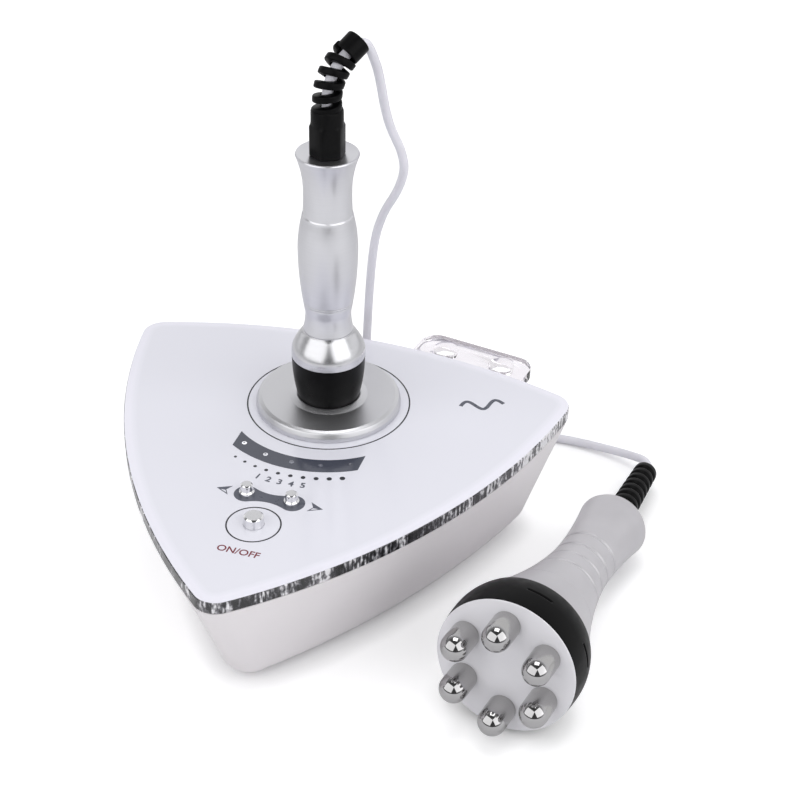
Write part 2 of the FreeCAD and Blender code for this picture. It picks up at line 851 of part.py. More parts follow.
def make_main_board():
    base = floor_top + d("main_post_height")
    top = base + d("board_thickness")
    across, along, middle = d("main_board_half_width"), d("main_board_half_depth"), d("main_board_y")
    slab = box(on_console(-across, middle - along, base), (across * 2, along * 2, d("board_thickness")))
    holes = []
    screws = []
    for x, y in main_screw_places():
        holes.append(cylinder(d("board_screw_radius") + d("screw_gap"), d("board_thickness"),
                              on_console(x, y, base)))
        head = cylinder(d("board_screw_head_radius"), d("board_screw_head_height"), on_console(x, y, top))
        rod = cylinder(d("board_screw_radius"), d("board_screw_length"),
                       on_console(x, y, top - d("board_screw_length")))
        screws.append(fuse([head, rod]))
    node("main_board", cut(slab, fuse(holes)))
    node("main_board_screws", group(screws))

    # Ferrite frame with a centre limb, and the winding on a bobbin round that limb
    width, depth, height, limb = d("core_width"), d("core_depth"), d("core_height"), d("core_limb")
    x, y = d("core_x"), middle
    gap = d("winding_gap")
    yoke = box(on_console(x - width / 2, y - depth / 2, top), (width, depth, height))
    window = box(on_console(x - width / 2 + limb, y - depth / 2, top + limb),
                 (width - limb * 2, depth, height - limb * 2))
    centre = box(on_console(x - limb / 2, y - depth / 2, top), (limb, depth, height))
    node("transformer_core", fuse([cut(yoke, window), centre]))
    coil_low = on_console(x - width / 2 + limb + gap, y - depth / 2 - limb / 2, top + limb + gap)
    coil = box(coil_low, (width - limb * 2 - gap * 2, depth + limb, height - limb * 2 - gap * 2))
    slot = box(on_console(x - limb / 2 - gap, y - depth / 2 - gap, top + limb),
               (limb + gap * 2, depth + gap * 2, height))
    node("transformer_winding", cut(coil, slot))

    # Finned heat sink with the power transistor clamped to its flat side
    wide, deep, tall = d("sink_width"), d("sink_depth"), d("sink_height")
    left, front = d("sink_x") - wide / 2, d("sink_y")
    fins = [box(on_console(left, front, top), (wide, d("sink_base"), tall))]
    for index in range(int(number("sink_fins"))):
        fins.append(box(on_console(left + d("sink_fin_pitch") * index, front, top),
                        (d("sink_fin"), deep, tall)))
    node("heat_sink", fuse(fins))
    low = on_console(d("sink_x") - d("transistor_width") / 2, front - d("transistor_depth"), top)
    size = (d("transistor_width"), d("transistor_depth"), d("transistor_height"))
    node("power_transistor", box(low, size))


def make_sockets():
    nuts = []
    nut_back = -(d("boss_depth") + d("socket_nut_height"))
    barrel = d("socket_bore") - d("socket_gap")
    nose = d("socket_flange") + d("socket_nose_length")
    for name, side in SOCKET_SIDES:
        place = on_console(side * d("socket_x"), boss_face(), d("socket_height"))
        corners = [(0, -d("socket_barrel_length")), (barrel, -d("socket_barrel_length")),
                   (barrel, 0), (d("socket_flange_radius"), 0),
                   (d("socket_flange_radius"), d("socket_flange")),
                   (d("socket_nose_radius"), d("socket_flange")),
                   (d("socket_nose_radius"), nose), (0, nose)]
        node(name + "_socket", turned_piece("Socket", corners, None, place, TO_REAR))
        ring = [(barrel + d("screw_gap"), nut_back), (d("socket_nut_radius"), nut_back),
                (d("socket_nut_radius"), -d("boss_depth")), (barrel + d("screw_gap"), -d("boss_depth"))]
        nuts.append(turned_piece("SocketNut", ring, None, place, TO_REAR))

        # Plug pushed on to the nose, and the coupling sleeve that turns round it
        plug_start = nose + d("press_gap")
        collar_end = plug_start + d("plug_collar")
        tail = plug_start + d("plug_length")
        plug = [(0, plug_start), (d("plug_collar_radius"), plug_start),
                (d("plug_collar_radius"), collar_end), (d("plug_radius"), collar_end),
                (d("plug_radius"), (plug_start + tail) / 2), (d("plug_tail_radius"), tail),
                (0, tail)]
        node(name + "_plug", turned_piece("Plug", plug, None, place, TO_REAR))
        sleeve_start = d("socket_flange") + d("plug_gap")
        sleeve_end = sleeve_start + d("sleeve_length")
        wide = d("socket_nose_radius") + d("plug_gap")
        tight = d("plug_radius") + d("plug_gap")
        shoulder = collar_end + d("plug_gap")
        sleeve = [(wide, sleeve_start), (d("sleeve_radius"), sleeve_start), (d("sleeve_radius"), sleeve_end),
                  (tight, sleeve_end), (tight, shoulder), (wide, shoulder)]
        node(name + "_plug_sleeve", turned_piece("Sleeve", sleeve, None, place, TO_REAR))
    node("socket_nuts", group(nuts))

    place = on_console(0, boss_face(), d("socket_height"))
    face = d("socket_flange")
    back = face - d("inlet_hole_depth")
    inlet = d("inlet_bore") - d("socket_gap")
    hole, pin = d("inlet_hole_radius"), d("inlet_pin_radius")
    corners = [(0, -d("boss_depth")), (inlet, -d("boss_depth")), (inlet, 0),
               (d("inlet_flange_radius"), 0), (d("inlet_flange_radius"), face), (hole, face),
               (hole, back), (pin, back), (pin, 0), (0, pin)]
    node("power_inlet", turned_piece("Inlet", corners, {8: (pin, 1)}, place, TO_REAR))


def wand_levels():
    """Heights above the panel top: shoulder, waist, bulge, crease, throat and flange."""
    levels = [d("shoulder_height")]
    for stretch in ("waist_height", "bulge_height", "crease_height", "throat_height", "flange_height"):
        levels.append(levels[-1] + d(stretch))
    return levels


def make_wand():
    place = on_console(0, d("holder_y"), panel_top)
    bore = d("wand_bore")
    rod = d("core_rod_radius")
    low = -d("cup_depth") + d("wand_seat_gap")
    tip, rounding = d("tip_radius"), d("tip_rounding")
    joint = d("collar_base_height")
    corners = [(0, low), (tip - rounding, low), (tip, low + rounding), (tip, joint), (bore, joint),
               (bore, d("core_rod_base")), (0, d("core_rod_base"))]
    node("wand_tip", turned_piece("Tip", corners, {1: (rounding, 1)}, place))

    spread = d("collar_radius") - d("collar_base_radius")
    rise = d("collar_height") - joint
    corners = [(bore, joint), (d("collar_base_radius"), joint), (d("collar_radius"), d("collar_height")),
               (bore, d("collar_height"))]
    node("wand_collar", turned_piece("Collar", corners, {1: (bulge(spread, rise), 1)}, place))

    corners = [(bore, d("collar_height")), (d("shoulder_radius"), d("collar_height")),
               (d("shoulder_radius"), d("shoulder_lip_height")),
               (d("shoulder_neck_radius"), d("shoulder_height")),
               (bore, d("shoulder_height"))]
    node("wand_shoulder", turned_piece("Shoulder", corners, None, place))

    waist, swell, crease = d("waist_radius"), d("bulge_radius"), d("crease_radius")
    throat, flange, edge = d("throat_radius"), d("flange_radius"), d("flange_edge")
    foot, waist_z, swell_z, crease_z, throat_z, top = wand_levels()
    neck = d("shoulder_neck_radius")
    corners = [(bore, foot), (neck, foot), (waist, waist_z), (swell, swell_z), (crease, crease_z),
               (throat, throat_z), (flange, top - edge), (flange - edge, top), (bore, top)]
    arcs = {1: (bulge(neck - waist, waist_z - foot), -1),
            2: (bulge(swell - waist, swell_z - waist_z), 1),
            3: (bulge(swell - crease, crease_z - swell_z), 1),
            4: (bulge(crease - throat, throat_z - crease_z), -1),
            5: (bulge(flange - throat, top - edge - throat_z), -1)}
    node("wand_handle", turned_piece("Handle", corners, arcs, place))
    base, tall = d("core_rod_base"), d("core_rod_top")
    rod_piece = cylinder(rod, tall - base, on_console(0, d("holder_y"), panel_top + base))
    node("wand_core_rod", rod_piece)


def make_gland():
    height = panel_top + wand_levels()[-1]
    hexagon = doc.addObject("Part::Prism", "GlandHexagon")
    hexagon.Polygon = 6
    bind(hexagon, "Circumradius", d("gland_corner_radius"))
    bind(hexagon, "Height", d("gland_hex_height"))
    put(hexagon, on_console(0, d("holder_y"), height))
    neck = cylinder(d("gland_neck_radius"), d("gland_height"), on_console(0, d("holder_y"), height))
    nose = cylinder(d("gland_nose_radius"), d("gland_nose_length"),
                    on_console(0, d("holder_y"), height - d("gland_nose_length")))
    reach = d("gland_height") + d("gland_nose_length")
    hole = cylinder(d("cord_diameter") / 2 + d("cord_bore_gap"), reach,
                    on_console(0, d("holder_y"), height - d("gland_nose_length")))
    mouth = cylinder(d("gland_cup_radius"), d("gland_cup_depth"),
                     on_console(0, d("holder_y"), height + d("gland_height") - d("gland_cup_depth")))
    node("gland_body", cut(fuse([hexagon, neck, nose]), fuse([hole, mouth])))


# Curves made of straight runs and tangent arcs


def number(alias):
    return d(alias).value


def arc_edge(start, bend, end):
    """A circular arc that leaves start towards bend and reaches end along bend to end."""
    middle = (start + end) * 0.5
    half = (end - start).Length / 2
    rise = bend - middle
    if rise.Length < 1e-6:
        return Part.LineSegment(start, end).toShape()
    tangent = (bend - start).Length
    quarter = math.acos(min(1.0, half / tangent)) / 2
    rise.normalize()
    return Part.Arc(start, middle + rise * (half * math.tan(quarter)), end).toShape()


def biarc_edges(start, along_start, end, along_end):
    """Two tangent arcs from one point and direction to another."""
    chord = end - start
    both = along_start + along_end
    spread = 2 * (1 - along_start.dot(along_end))
    lean = chord.dot(both)
    if spread < 1e-9:
        length = chord.dot(chord) / (4 * chord.dot(along_end))
    else:
        length = (math.sqrt(lean ** 2 + spread * chord.dot(chord)) - lean) / spread
    first = start + along_start * length
    second = end - along_end * length
    joint = (first + second) * 0.5
    return [arc_edge(start, first, joint), arc_edge(joint, second, end)]


def tube(edges, start, along, radius):
    """One unbroken round tube along a wire of edges."""
    wire = Part.Wire(edges)
    ring = Part.Wire([Part.Circle(start, along, radius).toShape()])
    return wire.makePipeShell([ring], True, False)


def compare_tube(label, shape, radius, length):
    expected = math.pi * radius ** 2 * length
    print("%s: length %.1f mm, volume %.4f of its section times length"
          % (label, length, shape.Volume / expected))


def least_gap(points, skip, thickness):
    """Smallest clear gap between turns of a wound tube, measured on points."""
    best = None
    for first in range(len(points)):
        for second in range(first + skip, len(points)):
            distance = (points[first] - points[second]).Length - thickness
            if best is None or distance < best:
                best = distance
    return best


def feature(label, shape):
    piece = doc.addObject("Part::Feature", label)
    piece.Shape = shape
    piece.Placement = FreeCAD.Placement()
    return node(label, piece)


def winding(label, knots, radius, lead_in, lead_out):
    """A wound tube through (point, direction) knots, with straight ends."""
    start, first_way = knots[0]
    end, last_way = knots[-1]
    edges = [Part.LineSegment(start - first_way * lead_in, start).toShape()]
    for (here, way), (there, there_way) in zip(knots, knots[1:]):
        edges += biarc_edges(here, way, there, there_way)
    edges.append(Part.LineSegment(end, end + last_way * lead_out).toShape())
    shape = tube(edges, start - first_way * lead_in, first_way, radius)
    length = sum(edge.Length for edge in edges)
    compare_tube(label, shape, radius, length)
    feature(label, shape)
    return length


ARC_SHARE = 0.45


def cord_tube(label, route, radius):
    """A cord along straight runs joined by arcs as large as the runs allow."""
    points = [V(*point) for point in route]
    edges = []
    radii = []
    last = points[0]
    for before, corner, after in zip(points, points[1:], points[2:]):
        run_in = corner - before
        run_out = after - corner
        shorter = min(run_in.Length, run_out.Length)
        turn = run_in.getAngle(run_out)
        back = ARC_SHARE * shorter
        radii.append(back / math.tan(turn / 2))
        run_in.normalize()
        run_out.normalize()
        start = corner - run_in * back
        end = corner + run_out * back
        edges.append(Part.LineSegment(last, start).toShape())
        edges.append(arc_edge(start, corner, end))
        last = end
    edges.append(Part.LineSegment(last, points[-1]).toShape())
    along = points[1] - points[0]
    along.normalize()
    shape = tube(edges, points[0], along, radius)
    length = sum(edge.Length for edge in edges)
    compare_tube(label, shape, radius, length)
    print("%s bend radii: %s" % (label, ", ".join("%.1f" % size for size in radii)))
    feature(label, shape)
    return length


def listed(point):
    return (point.x, point.y, point.z)


class GuardAxis:
    """The bent centre line of the spiral guard, measured from the gland's top."""

    def __init__(self):
        heading = math.radians(number("guard_azimuth"))
        self.way = V(math.cos(heading), math.sin(heading), 0)
        self.side = V(-math.sin(heading), math.cos(heading), 0)
        height = (panel_top + wand_levels()[-1] + d("gland_height")).value
        self.base = V(number("console_x"), number("console_y") + number("holder_y"), height)
        self.straight = number("guard_straight")
        self.radius = number("guard_bend_radius")
        self.bend = math.radians(number("guard_bend_angle"))
        self.length = self.straight + self.radius * self.bend

    def turn(self, station):
        return min(max((station - self.straight) / self.radius, 0.0), self.bend)

    def along(self, station):
        turn = self.turn(station)
        return self.way * math.sin(turn) + V(0, 0, 1) * math.cos(turn)

    def across(self, station):
        turn = self.turn(station)
        return self.way * math.cos(turn) - V(0, 0, 1) * math.sin(turn)

    def point(self, station):
        if station <= self.straight:
            return self.base + V(0, 0, 1) * station
        turn = self.turn(station)
        start = self.base + V(0, 0, self.straight)
        spot = start + self.way * (self.radius * (1 - math.cos(turn)))
        spot = spot + V(0, 0, self.radius * math.sin(turn))
        return spot + self.along(station) * max(station - self.length, 0.0)

    def wound(self, station, angle, radius):
        arm = self.across(station) * math.cos(angle) + self.side * math.sin(angle)
        return self.point(station) + arm * radius


def make_guard():
    """Spiral guard, its end cap and the length of cord inside them."""
    axis = GuardAxis()
    radius = number("guard_coil_radius")
    wire = number("guard_wire")
    turns = number("guard_turns")
    ease = number("guard_ease") * 2 * math.pi
    turn_in = number("guard_turn_in")
    start = -number("gland_cup_depth") + wire
    first = start + turn_in
    last = axis.length - wire - turn_in
    full = 2 * math.pi * turns

    def on_helix(angle):
        station = first + (last - first) * angle / full
        return axis.wound(station, ease + angle, radius)

    step = 1e-4
    knots = [(axis.wound(start, 0.0, radius), axis.along(start))]
    quarters = int(round(4 * turns))
    for index in range(quarters + 1):
        angle = full * index / quarters
        way = on_helix(angle + step) - on_helix(angle - step)
        way.normalize()
        knots.append((on_helix(angle), way))
    close = axis.length - wire
    knots.append((axis.wound(close, full + 2 * ease, radius), axis.along(close)))
    winding("spiral_guard", knots, wire / 2, wire, wire)
    samples = [on_helix(full * index / 200) for index in range(201)]
    print("spiral_guard least gap to itself %.2f mm" % least_gap(samples, int(120 / turns), wire))

    cap_way = axis.along(axis.length)
    rotation = FreeCAD.Rotation(V(0, 0, 1), cap_way)
    bore = d("cord_diameter") / 2 + d("cord_bore_gap")
    edge = d("cap_edge")
    corners = [(bore, 0), (d("cap_radius"), 0), (d("cap_radius"), d("cap_length") - edge),
               (d("cap_radius") - edge, d("cap_length")), (bore, d("cap_length"))]
    cap = turned_piece("GuardCap", corners)
    cap.Placement = FreeCAD.Placement(axis.point(axis.length), rotation)
    node("guard_cap", cap)

    root = axis.base - V(0, 0, number("gland_height"))
    bend_start = axis.point(axis.straight)
    bend_end = axis.point(axis.length)
    exit_point = axis.point(axis.length + number("cap_length"))
    tangent = axis.radius * math.tan(axis.bend / 2)
    edges = [Part.LineSegment(root, bend_start).toShape(),
             arc_edge(bend_start, bend_start + V(0, 0, tangent), bend_end),
             Part.LineSegment(bend_end, exit_point).toShape()]
    thickness = number("cord_diameter") / 2
    shape = tube(edges, root, V(0, 0, 1), thickness)
    compare_tube("guard_cord", shape, thickness, sum(edge.Length for edge in edges))
    feature("guard_cord", shape)
    return exit_point, cap_way


def coil_knots(centre_x, laps):
    """Knots of a neat coil: in along the table, up a layer half way, and out again."""
    radius = number("coil_radius")
    pitch = number("coil_pitch") / (2 * math.pi)
    low = number("cord_diameter") / 2 + number("tie_thickness") + number("tie_gap")
    centre = V(centre_x, number("console_y") + number("coil_y"), low)
    sweep = 2 * math.pi * laps - math.pi / 2
    middle = sweep / 2

    def spot(angle):
        distance = radius - pitch * (middle - abs(angle - middle))
        climb = min(max((angle - middle) / math.pi + 0.5, 0.0), 1.0)
        height = number("coil_layer") * climb * climb * (3 - 2 * climb)
        turn = -math.pi / 2 - angle
        return centre + V(distance * math.cos(turn), distance * math.sin(turn), height)

    step = 1e-4
    quarters = int(round(4 * laps)) - 1
    knots = []
    for index in range(quarters + 1):
        angle = sweep * index / quarters
        way = spot(angle + step) - spot(angle - step)
        way.normalize()
        knots.append((spot(angle), way))
    samples = [spot(sweep * index / 400) for index in range(401)]
    gap = least_gap(samples, int(280 / laps), number("cord_diameter"))
    print("coil of %.2f turns, least gap to itself %.2f mm" % (laps - 0.25, gap))
    return knots, radius - pitch * middle


def make_cord(name, exit_point, exit_way, stub, route, side, laps):
    """Free cord, tied coil and the lead from the coil to the plug."""
    thickness = number("cord_diameter")
    radius = thickness / 2
    plug_x = number("console_x") + side * number("socket_x")
    knots, inner = coil_knots(plug_x - number("coil_radius"), laps)
    start, start_way = knots[0]
    end, end_way = knots[-1]
    entry = start - start_way * thickness
    leave = end + end_way * thickness
    coil = winding(name + "_cord_coil", knots, radius, thickness, thickness)

    points = [listed(exit_point), listed(exit_point + exit_way * stub)] + route
    points += [listed(entry - start_way * COIL_RUN_IN), listed(entry)]
    length = cord_tube(name + "_cord", points, radius)

    plug_end = d("socket_flange") + d("socket_nose_length") + d("press_gap") + d("plug_length")
    plug_y = number("console_y") + boss_face().value + plug_end.value
    plug_z = number("socket_height")
    drop = plug_z - leave.z
    span = leave.y - plug_y
    lead = [listed(leave), listed(leave + end_way * (LEAD_START * span))]
    for share_along, share_up in LEAD_SHARES:
        lead.append((plug_x, plug_y + share_along * span, leave.z + share_up * drop))
    length += cord_tube(name + "_cord_lead", lead, radius)
    print("%s cord is %.0f mm long in all" % (name, length + coil))

    # A strap tie round all the turns on the coil's left side
    gap, wall, width = d("tie_gap"), d("tie_thickness"), d("tie_width")
    thick = d("cord_diameter")
    coil_x = d("console_x") + side * d("socket_x") - d("coil_radius")
    outer_x = coil_x - d("coil_radius") - thick / 2 - gap - wall
    across = as_size(number("coil_radius") - inner) + thick + gap * 2 + wall * 2
    tall = d("coil_layer") + thick + gap * 2 + wall * 2
    low_y = d("console_y") + d("coil_y") - width / 2
    outer = box((outer_x, low_y, 0), (across, width, tall))
    hollow = box((outer_x + wall, low_y, wall), (across - wall * 2, width, tall - wall * 2))
    node(name + "_cord_tie", cut(outer, hollow))


POLE_COUNT = 6
RIB_FLANK = 0.15


def hand_pose():
    """Where the handpiece lies: its bumper and its tail both touch the table."""
    span = number("grip_tail_station") - number("bumper_station")
    tilt = math.atan((number("bumper_radius") - number("grip_tail_radius")) / span)
    heading = math.radians(number("hand_heading"))
    way = V(math.cos(heading) * math.cos(tilt), math.sin(heading) * math.cos(tilt), -math.sin(tilt))
    side = V(-way.y, way.x, 0)
    side.normalize()
    height = number("bumper_radius") * math.cos(tilt) + number("bumper_station") * math.sin(tilt)
    rotation = FreeCAD.Rotation(side, way.cross(side), way, "ZXY")
    return FreeCAD.Placement(V(number("hand_x"), number("hand_y"), height), rotation)


def stud_holes(body, places):
    """Drill the round holes for the pole studs through a turned plate."""
    sketch = new_sketch(body, "StudHoles", "XY_Plane")
    for index, (x, y) in enumerate(places):
        rough = number("pole_stud_radius")
        sketch.addGeometry(Part.Circle(V(x.value, y.value, 0), V(0, 0, 1), rough), False)
        pin_down(sketch, index, 3, x, y)
        dimension(sketch, "Radius", index, d("pole_stud_radius") + d("fit_gap"))
    doc.recompute()
    whole = body.Shape.Volume
    drilled = body.newObject("PartDesign::Pocket", "StudPocket")
    drilled.Profile = sketch
    drilled.Type = "ThroughAll"
    drilled.Midplane = True
    doc.recompute()
    if body.Shape.Volume >= whole:
        raise RuntimeError("stud holes cut nothing in " + body.Label)


def make_handpiece():
    pose = hand_pose()
    face, edge = d("face_radius"), d("face_edge")
    stud = d("pole_stud_radius")
    thick, rim = d("face_thickness"), d("face_rim")
    spigot = face - d("face_step")
    front, back = rim + d("fit_gap"), d("bumper_back")

    places = []
    for index in range(POLE_COUNT):
        angle = d("pole_phase") + 360 / POLE_COUNT * index
        places.append((d("pole_circle") * cosine(angle), d("pole_circle") * sine(angle)))
    corners = [(0, 0), (face - edge, 0), (face, edge), (face, rim), (spigot, rim), (spigot, thick),
               (0, thick)]
    plate = turned_piece("FacePlate", corners, {1: (edge, 1)})
    stud_holes(plate, places)
    plate.Placement = pose
    node("face_plate", plate)

    inner = spigot + d("fit_gap")
    middle = d("bumper_station")
    wide = d("bumper_radius")
    ledge = inner - d("bumper_wall")
    corners = [(inner, front), (d("bumper_front_radius"), front), (wide, middle),
               (d("bumper_back_radius"), back), (ledge, back), (ledge, thick + d("fit_gap")),
               (inner, thick + d("fit_gap"))]
    arcs = {1: (bulge(wide - d("bumper_front_radius"), middle - front), 1),
            2: (bulge(wide - d("bumper_back_radius"), back - middle), 1)}
    bumper = turned_piece("Bumper", corners, arcs)
    bumper.Placement = pose
    node("bumper_ring", bumper)

    wall = d("grip_wall")
    waist, waist_z = d("grip_waist_radius"), d("grip_waist_station")
    tail, tail_z = d("grip_tail_radius"), d("grip_tail_station")
    start, mouth = d("grip_start_radius"), d("grip_mouth")
    end_z = tail_z + d("grip_dome")
    flare = bulge(start - waist, waist_z - back)
    belly = bulge(tail - waist, tail_z - waist_z)
    corners = [(start - wall, back), (start, back), (waist, waist_z), (tail, tail_z), (mouth, end_z),
               (mouth, tail_z), (tail - wall, tail_z), (waist - wall, waist_z)]
    arcs = {1: (flare, -1), 2: (belly, -1), 3: (d("grip_dome_radius"), 1), 6: (belly, 1), 7: (flare, 1)}
    grip = turned_piece("Grip", corners, arcs)
    doc.recompute()
    grip_sketch = new_sketch(grip, "Grooves", "XZ_Plane")
    for index in range(int(number("groove_count"))):
        station = d("groove_first") + d("groove_step") * index
        drop = waist_z - station
        ring = waist + drop * drop / (flare * 2)
        rough = number("groove_radius")
        grip_sketch.addGeometry(Part.Circle(V(ring.value, station.value, 0), V(0, 0, 1), rough), False)
        pin_down(grip_sketch, index, 3, ring, station)
        dimension(grip_sketch, "Radius", index, d("groove_radius"))
    doc.recompute()
    whole = grip.Shape.Volume
    groove = grip.newObject("PartDesign::Groove", "RingGrooves")
    groove.Profile = grip_sketch
    groove.ReferenceAxis = (grip_sketch, ["V_Axis"])
    groove.Angle = 360.0
    doc.recompute()
    if grip.Shape.Volume >= whole:
        raise RuntimeError("ring grooves cut nothing")
    grip.Placement = pose
    node("grip_shell", grip)

    gap = d("carrier_gap")
    plate_z = thick + gap
    carrier = ledge - d("fit_gap")
    corners = [(0, plate_z), (carrier, plate_z), (carrier, plate_z + d("carrier_thickness")),
               (0, plate_z + d("carrier_thickness"))]
    disc = turned_piece("Carrier", corners)
    stud_holes(disc, places)
    disc.Placement = pose
    node("pole_carrier", disc)

    ball, reach = d("pole_radius"), d("pole_reach")
    for index, (x, y) in enumerate(places, 1):
        corners = [(0, -(reach + ball)), (ball, -reach), (ball, 0), (stud, 0),
                   (stud, d("pole_stud_length")), (0, d("pole_stud_length"))]
        pole = turned_piece("Pole", corners, {0: (ball, 1)})
        pole.Placement = pose.multiply(FreeCAD.Placement(V(x.value, y.value, 0), FreeCAD.Rotation()))
        node("pole_%d" % index, pole)

    # Ribbed strain relief, leaning a little out of the grip's axis
    root, root_len = d("relief_root_radius"), d("relief_root_length")
    base, tip, length = d("relief_base_radius"), d("relief_tip_radius"), d("relief_length")
    deep = d("relief_groove")
    bore = d("cord_diameter") / 2 + d("cord_bore_gap")
    seat = -d("relief_root")
    corners = [(bore, seat - root_len), (root, seat - root_len), (root, seat), (base, seat)]
    ribs = int(number("relief_ribs"))
    smooth = d("grip_dome") + d("relief_root")
    pitch = (length - smooth) / ribs
    flank = pitch * RIB_FLANK
    slope = (base - tip) / length
    for index in range(ribs):
        low = smooth + pitch * index
        wide = base - slope * low
        corners += [(wide, low), (wide - deep, low + flank), (wide - deep, low + pitch / 2 - flank),
                    (wide - slope * pitch / 2, low + pitch / 2)]
    corners += [(tip, length - d("relief_tip_edge")), (tip - d("relief_tip_edge"), length), (bore, length)]
    relief = turned_piece("Relief", corners)
    lean = FreeCAD.Placement(V(0, 0, number("relief_pivot")),
                             FreeCAD.Rotation(V(0, 1, 0), number("relief_lean")))
    relief.Placement = pose.multiply(lean)
    node("strain_relief", relief)
    exit_point = relief.Placement.multVec(V(0, 0, number("relief_length")))
    exit_way = relief.Placement.Rotation.multVec(V(0, 0, 1))
    return exit_point, exit_way


# Routes of the two cords, from the handset's exit to the coil, chosen by hand

WAND_ROUTE = [(-9.4, 56.9, 257.0), (-8.8, 60.0, 255.2), (-8.8, 62.6, 251.0), (-9.6, 67.0, 241.2),
              (-9.8, 76.0, 225.7), (-9.8, 81.5, 213.6), (-9.2, 86.6, 201.4), (-4.4, 91.0, 187.5),
              (-2.9, 94.5, 175.5),
              (-7.5, 98.0, 161.5), (-15.2, 101.5, 148.0), (-20.4, 104.5, 132.5), (-23.2, 107.5, 114.5),
              (-25.2, 110.2, 94.0), (-26.8, 112.5, 72.0), (-27.9, 114.6, 51.0), (-30.4, 116.8, 32.5),
              (-36.2, 119.2, 17.5), (-45.6, 121.8, 8.2), (-57.6, 124.7, 4.4)]
HAND_ROUTE = [(122.0, 131.0, 8.6), (115.0, 135.8, 6.4), (104.8, 139.7, 4.6), (91.5, 143.0, 3.1),
              (76.0, 144.4, 2.6), (58.0, 142.8, 2.4), (40.0, 138.6, 2.5), (22.5, 132.6, 2.9),
              (9.0, 128.7, 3.3)]
WAND_STUB = 2.6
HAND_STUB = 6.0

# The short lead from coil to plug: a straight start, then shares of its span and of its rise

COIL_RUN_IN = 11.0
LEAD_START = 0.18
LEAD_SHARES = [(0.58, 0.26), (0.34, 0.75), (0.15, 1.0), (0.0, 1.0)]


def check_and_write():
    doc.recompute()
    for piece in doc.Objects:
        if "Invalid" in piece.State or "Error" in piece.State:
            raise RuntimeError("failed object: " + piece.Label)
    for label, piece in NODES.items():
        if piece.Shape.isNull() or not piece.Shape.isValid():
            raise RuntimeError("bad shape: " + label)
        if not piece.Shape.Solids:
            raise RuntimeError("no solid: " + label)
    os.makedirs("parts", exist_ok=True)
    for label, piece in NODES.items():
        piece.Shape.exportStep("parts/%s.step" % label)
    print("%d nodes written" % len(NODES))


make_case()
make_feet_and_screws()
make_plate_and_panel()
make_holder()
make_buttons()
make_control_board()
make_main_board()
make_sockets()
make_wand()
make_gland()
wand_exit, wand_way = make_guard()
hand_exit, hand_way = make_handpiece()
make_cord("wand", wand_exit, wand_way, WAND_STUB, WAND_ROUTE, -1, number("wand_coil_laps"))
make_cord("hand", hand_exit, hand_way, HAND_STUB, HAND_ROUTE, 1, number("hand_coil_laps"))
check_and_write()
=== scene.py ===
# %% [markdown]
# # A desktop skin care unit
# The real object is a white three-cornered console with a metal wand standing in a cup on its
# top and a six-pole handpiece lying beside it, both on white cords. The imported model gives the
# solids at their real size. This lesson dresses them: pieces with fine shapes are built anew
# around the solids, and the others keep their solid and get a finish.

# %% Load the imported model
import json
import math

import bmesh
import bpy
from mathutils import Matrix, Vector
from mathutils.geometry import interpolate_bezier


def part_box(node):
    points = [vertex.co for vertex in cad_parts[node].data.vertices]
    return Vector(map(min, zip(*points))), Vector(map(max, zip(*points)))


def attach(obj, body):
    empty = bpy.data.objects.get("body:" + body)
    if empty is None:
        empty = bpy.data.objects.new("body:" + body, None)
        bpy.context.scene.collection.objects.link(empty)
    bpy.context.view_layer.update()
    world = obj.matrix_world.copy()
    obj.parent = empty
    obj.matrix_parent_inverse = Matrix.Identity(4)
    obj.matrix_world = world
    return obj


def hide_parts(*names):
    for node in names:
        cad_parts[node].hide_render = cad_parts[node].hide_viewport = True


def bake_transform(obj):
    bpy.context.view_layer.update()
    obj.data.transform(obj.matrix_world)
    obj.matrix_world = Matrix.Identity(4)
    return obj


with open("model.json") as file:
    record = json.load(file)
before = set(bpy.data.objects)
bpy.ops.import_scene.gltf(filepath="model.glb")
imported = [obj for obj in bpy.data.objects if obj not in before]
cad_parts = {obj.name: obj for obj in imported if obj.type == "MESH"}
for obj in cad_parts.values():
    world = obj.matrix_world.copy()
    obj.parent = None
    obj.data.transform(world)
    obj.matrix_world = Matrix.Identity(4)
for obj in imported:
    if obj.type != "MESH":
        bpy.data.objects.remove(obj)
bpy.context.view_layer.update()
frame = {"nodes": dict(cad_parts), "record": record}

scene = bpy.context.scene
scene.view_settings.view_transform = "Standard"

# %% [markdown]
# ## Where things are
# All sizes below are written in millimetres, as on a drawing, and turned into metres at one
# place. The holder disc and the panel's top face give the drawing's origin: the middle of the
# panel lies a known step in front of the holder's axis.

# %% The panel's middle and the wand's axis
MM = 0.001
HOLDER_STEP = 26.0
disc_low, disc_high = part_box("holder_disc")
panel_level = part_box("top_panel")[1].z
axis_point = (disc_low + disc_high) / 2
wand_place = Matrix.Translation((axis_point.x, axis_point.y, panel_level))
panel_place = wand_place @ Matrix.Translation((0, -HOLDER_STEP * MM, 0))
print("panel middle (m):", [round(value, 4) for value in panel_place.translation])

# %% [markdown]
# ## The camera
# The view was solved from the panel's outline and its printed ring, so the camera has a real
# place, a lens and a slight roll. Building the matrix from the three axes is more direct than
# turning an empty and tracking it.

# %% Camera at the photo's view
LENS = 75.689
CAMERA_PLACE = Vector((199.83, -592.63, 536.49)) * MM
CAMERA_AZIMUTH = math.radians(16.4355)
CAMERA_HEIGHT = math.radians(34.5475)
CAMERA_ROLL = math.radians(1.3528)


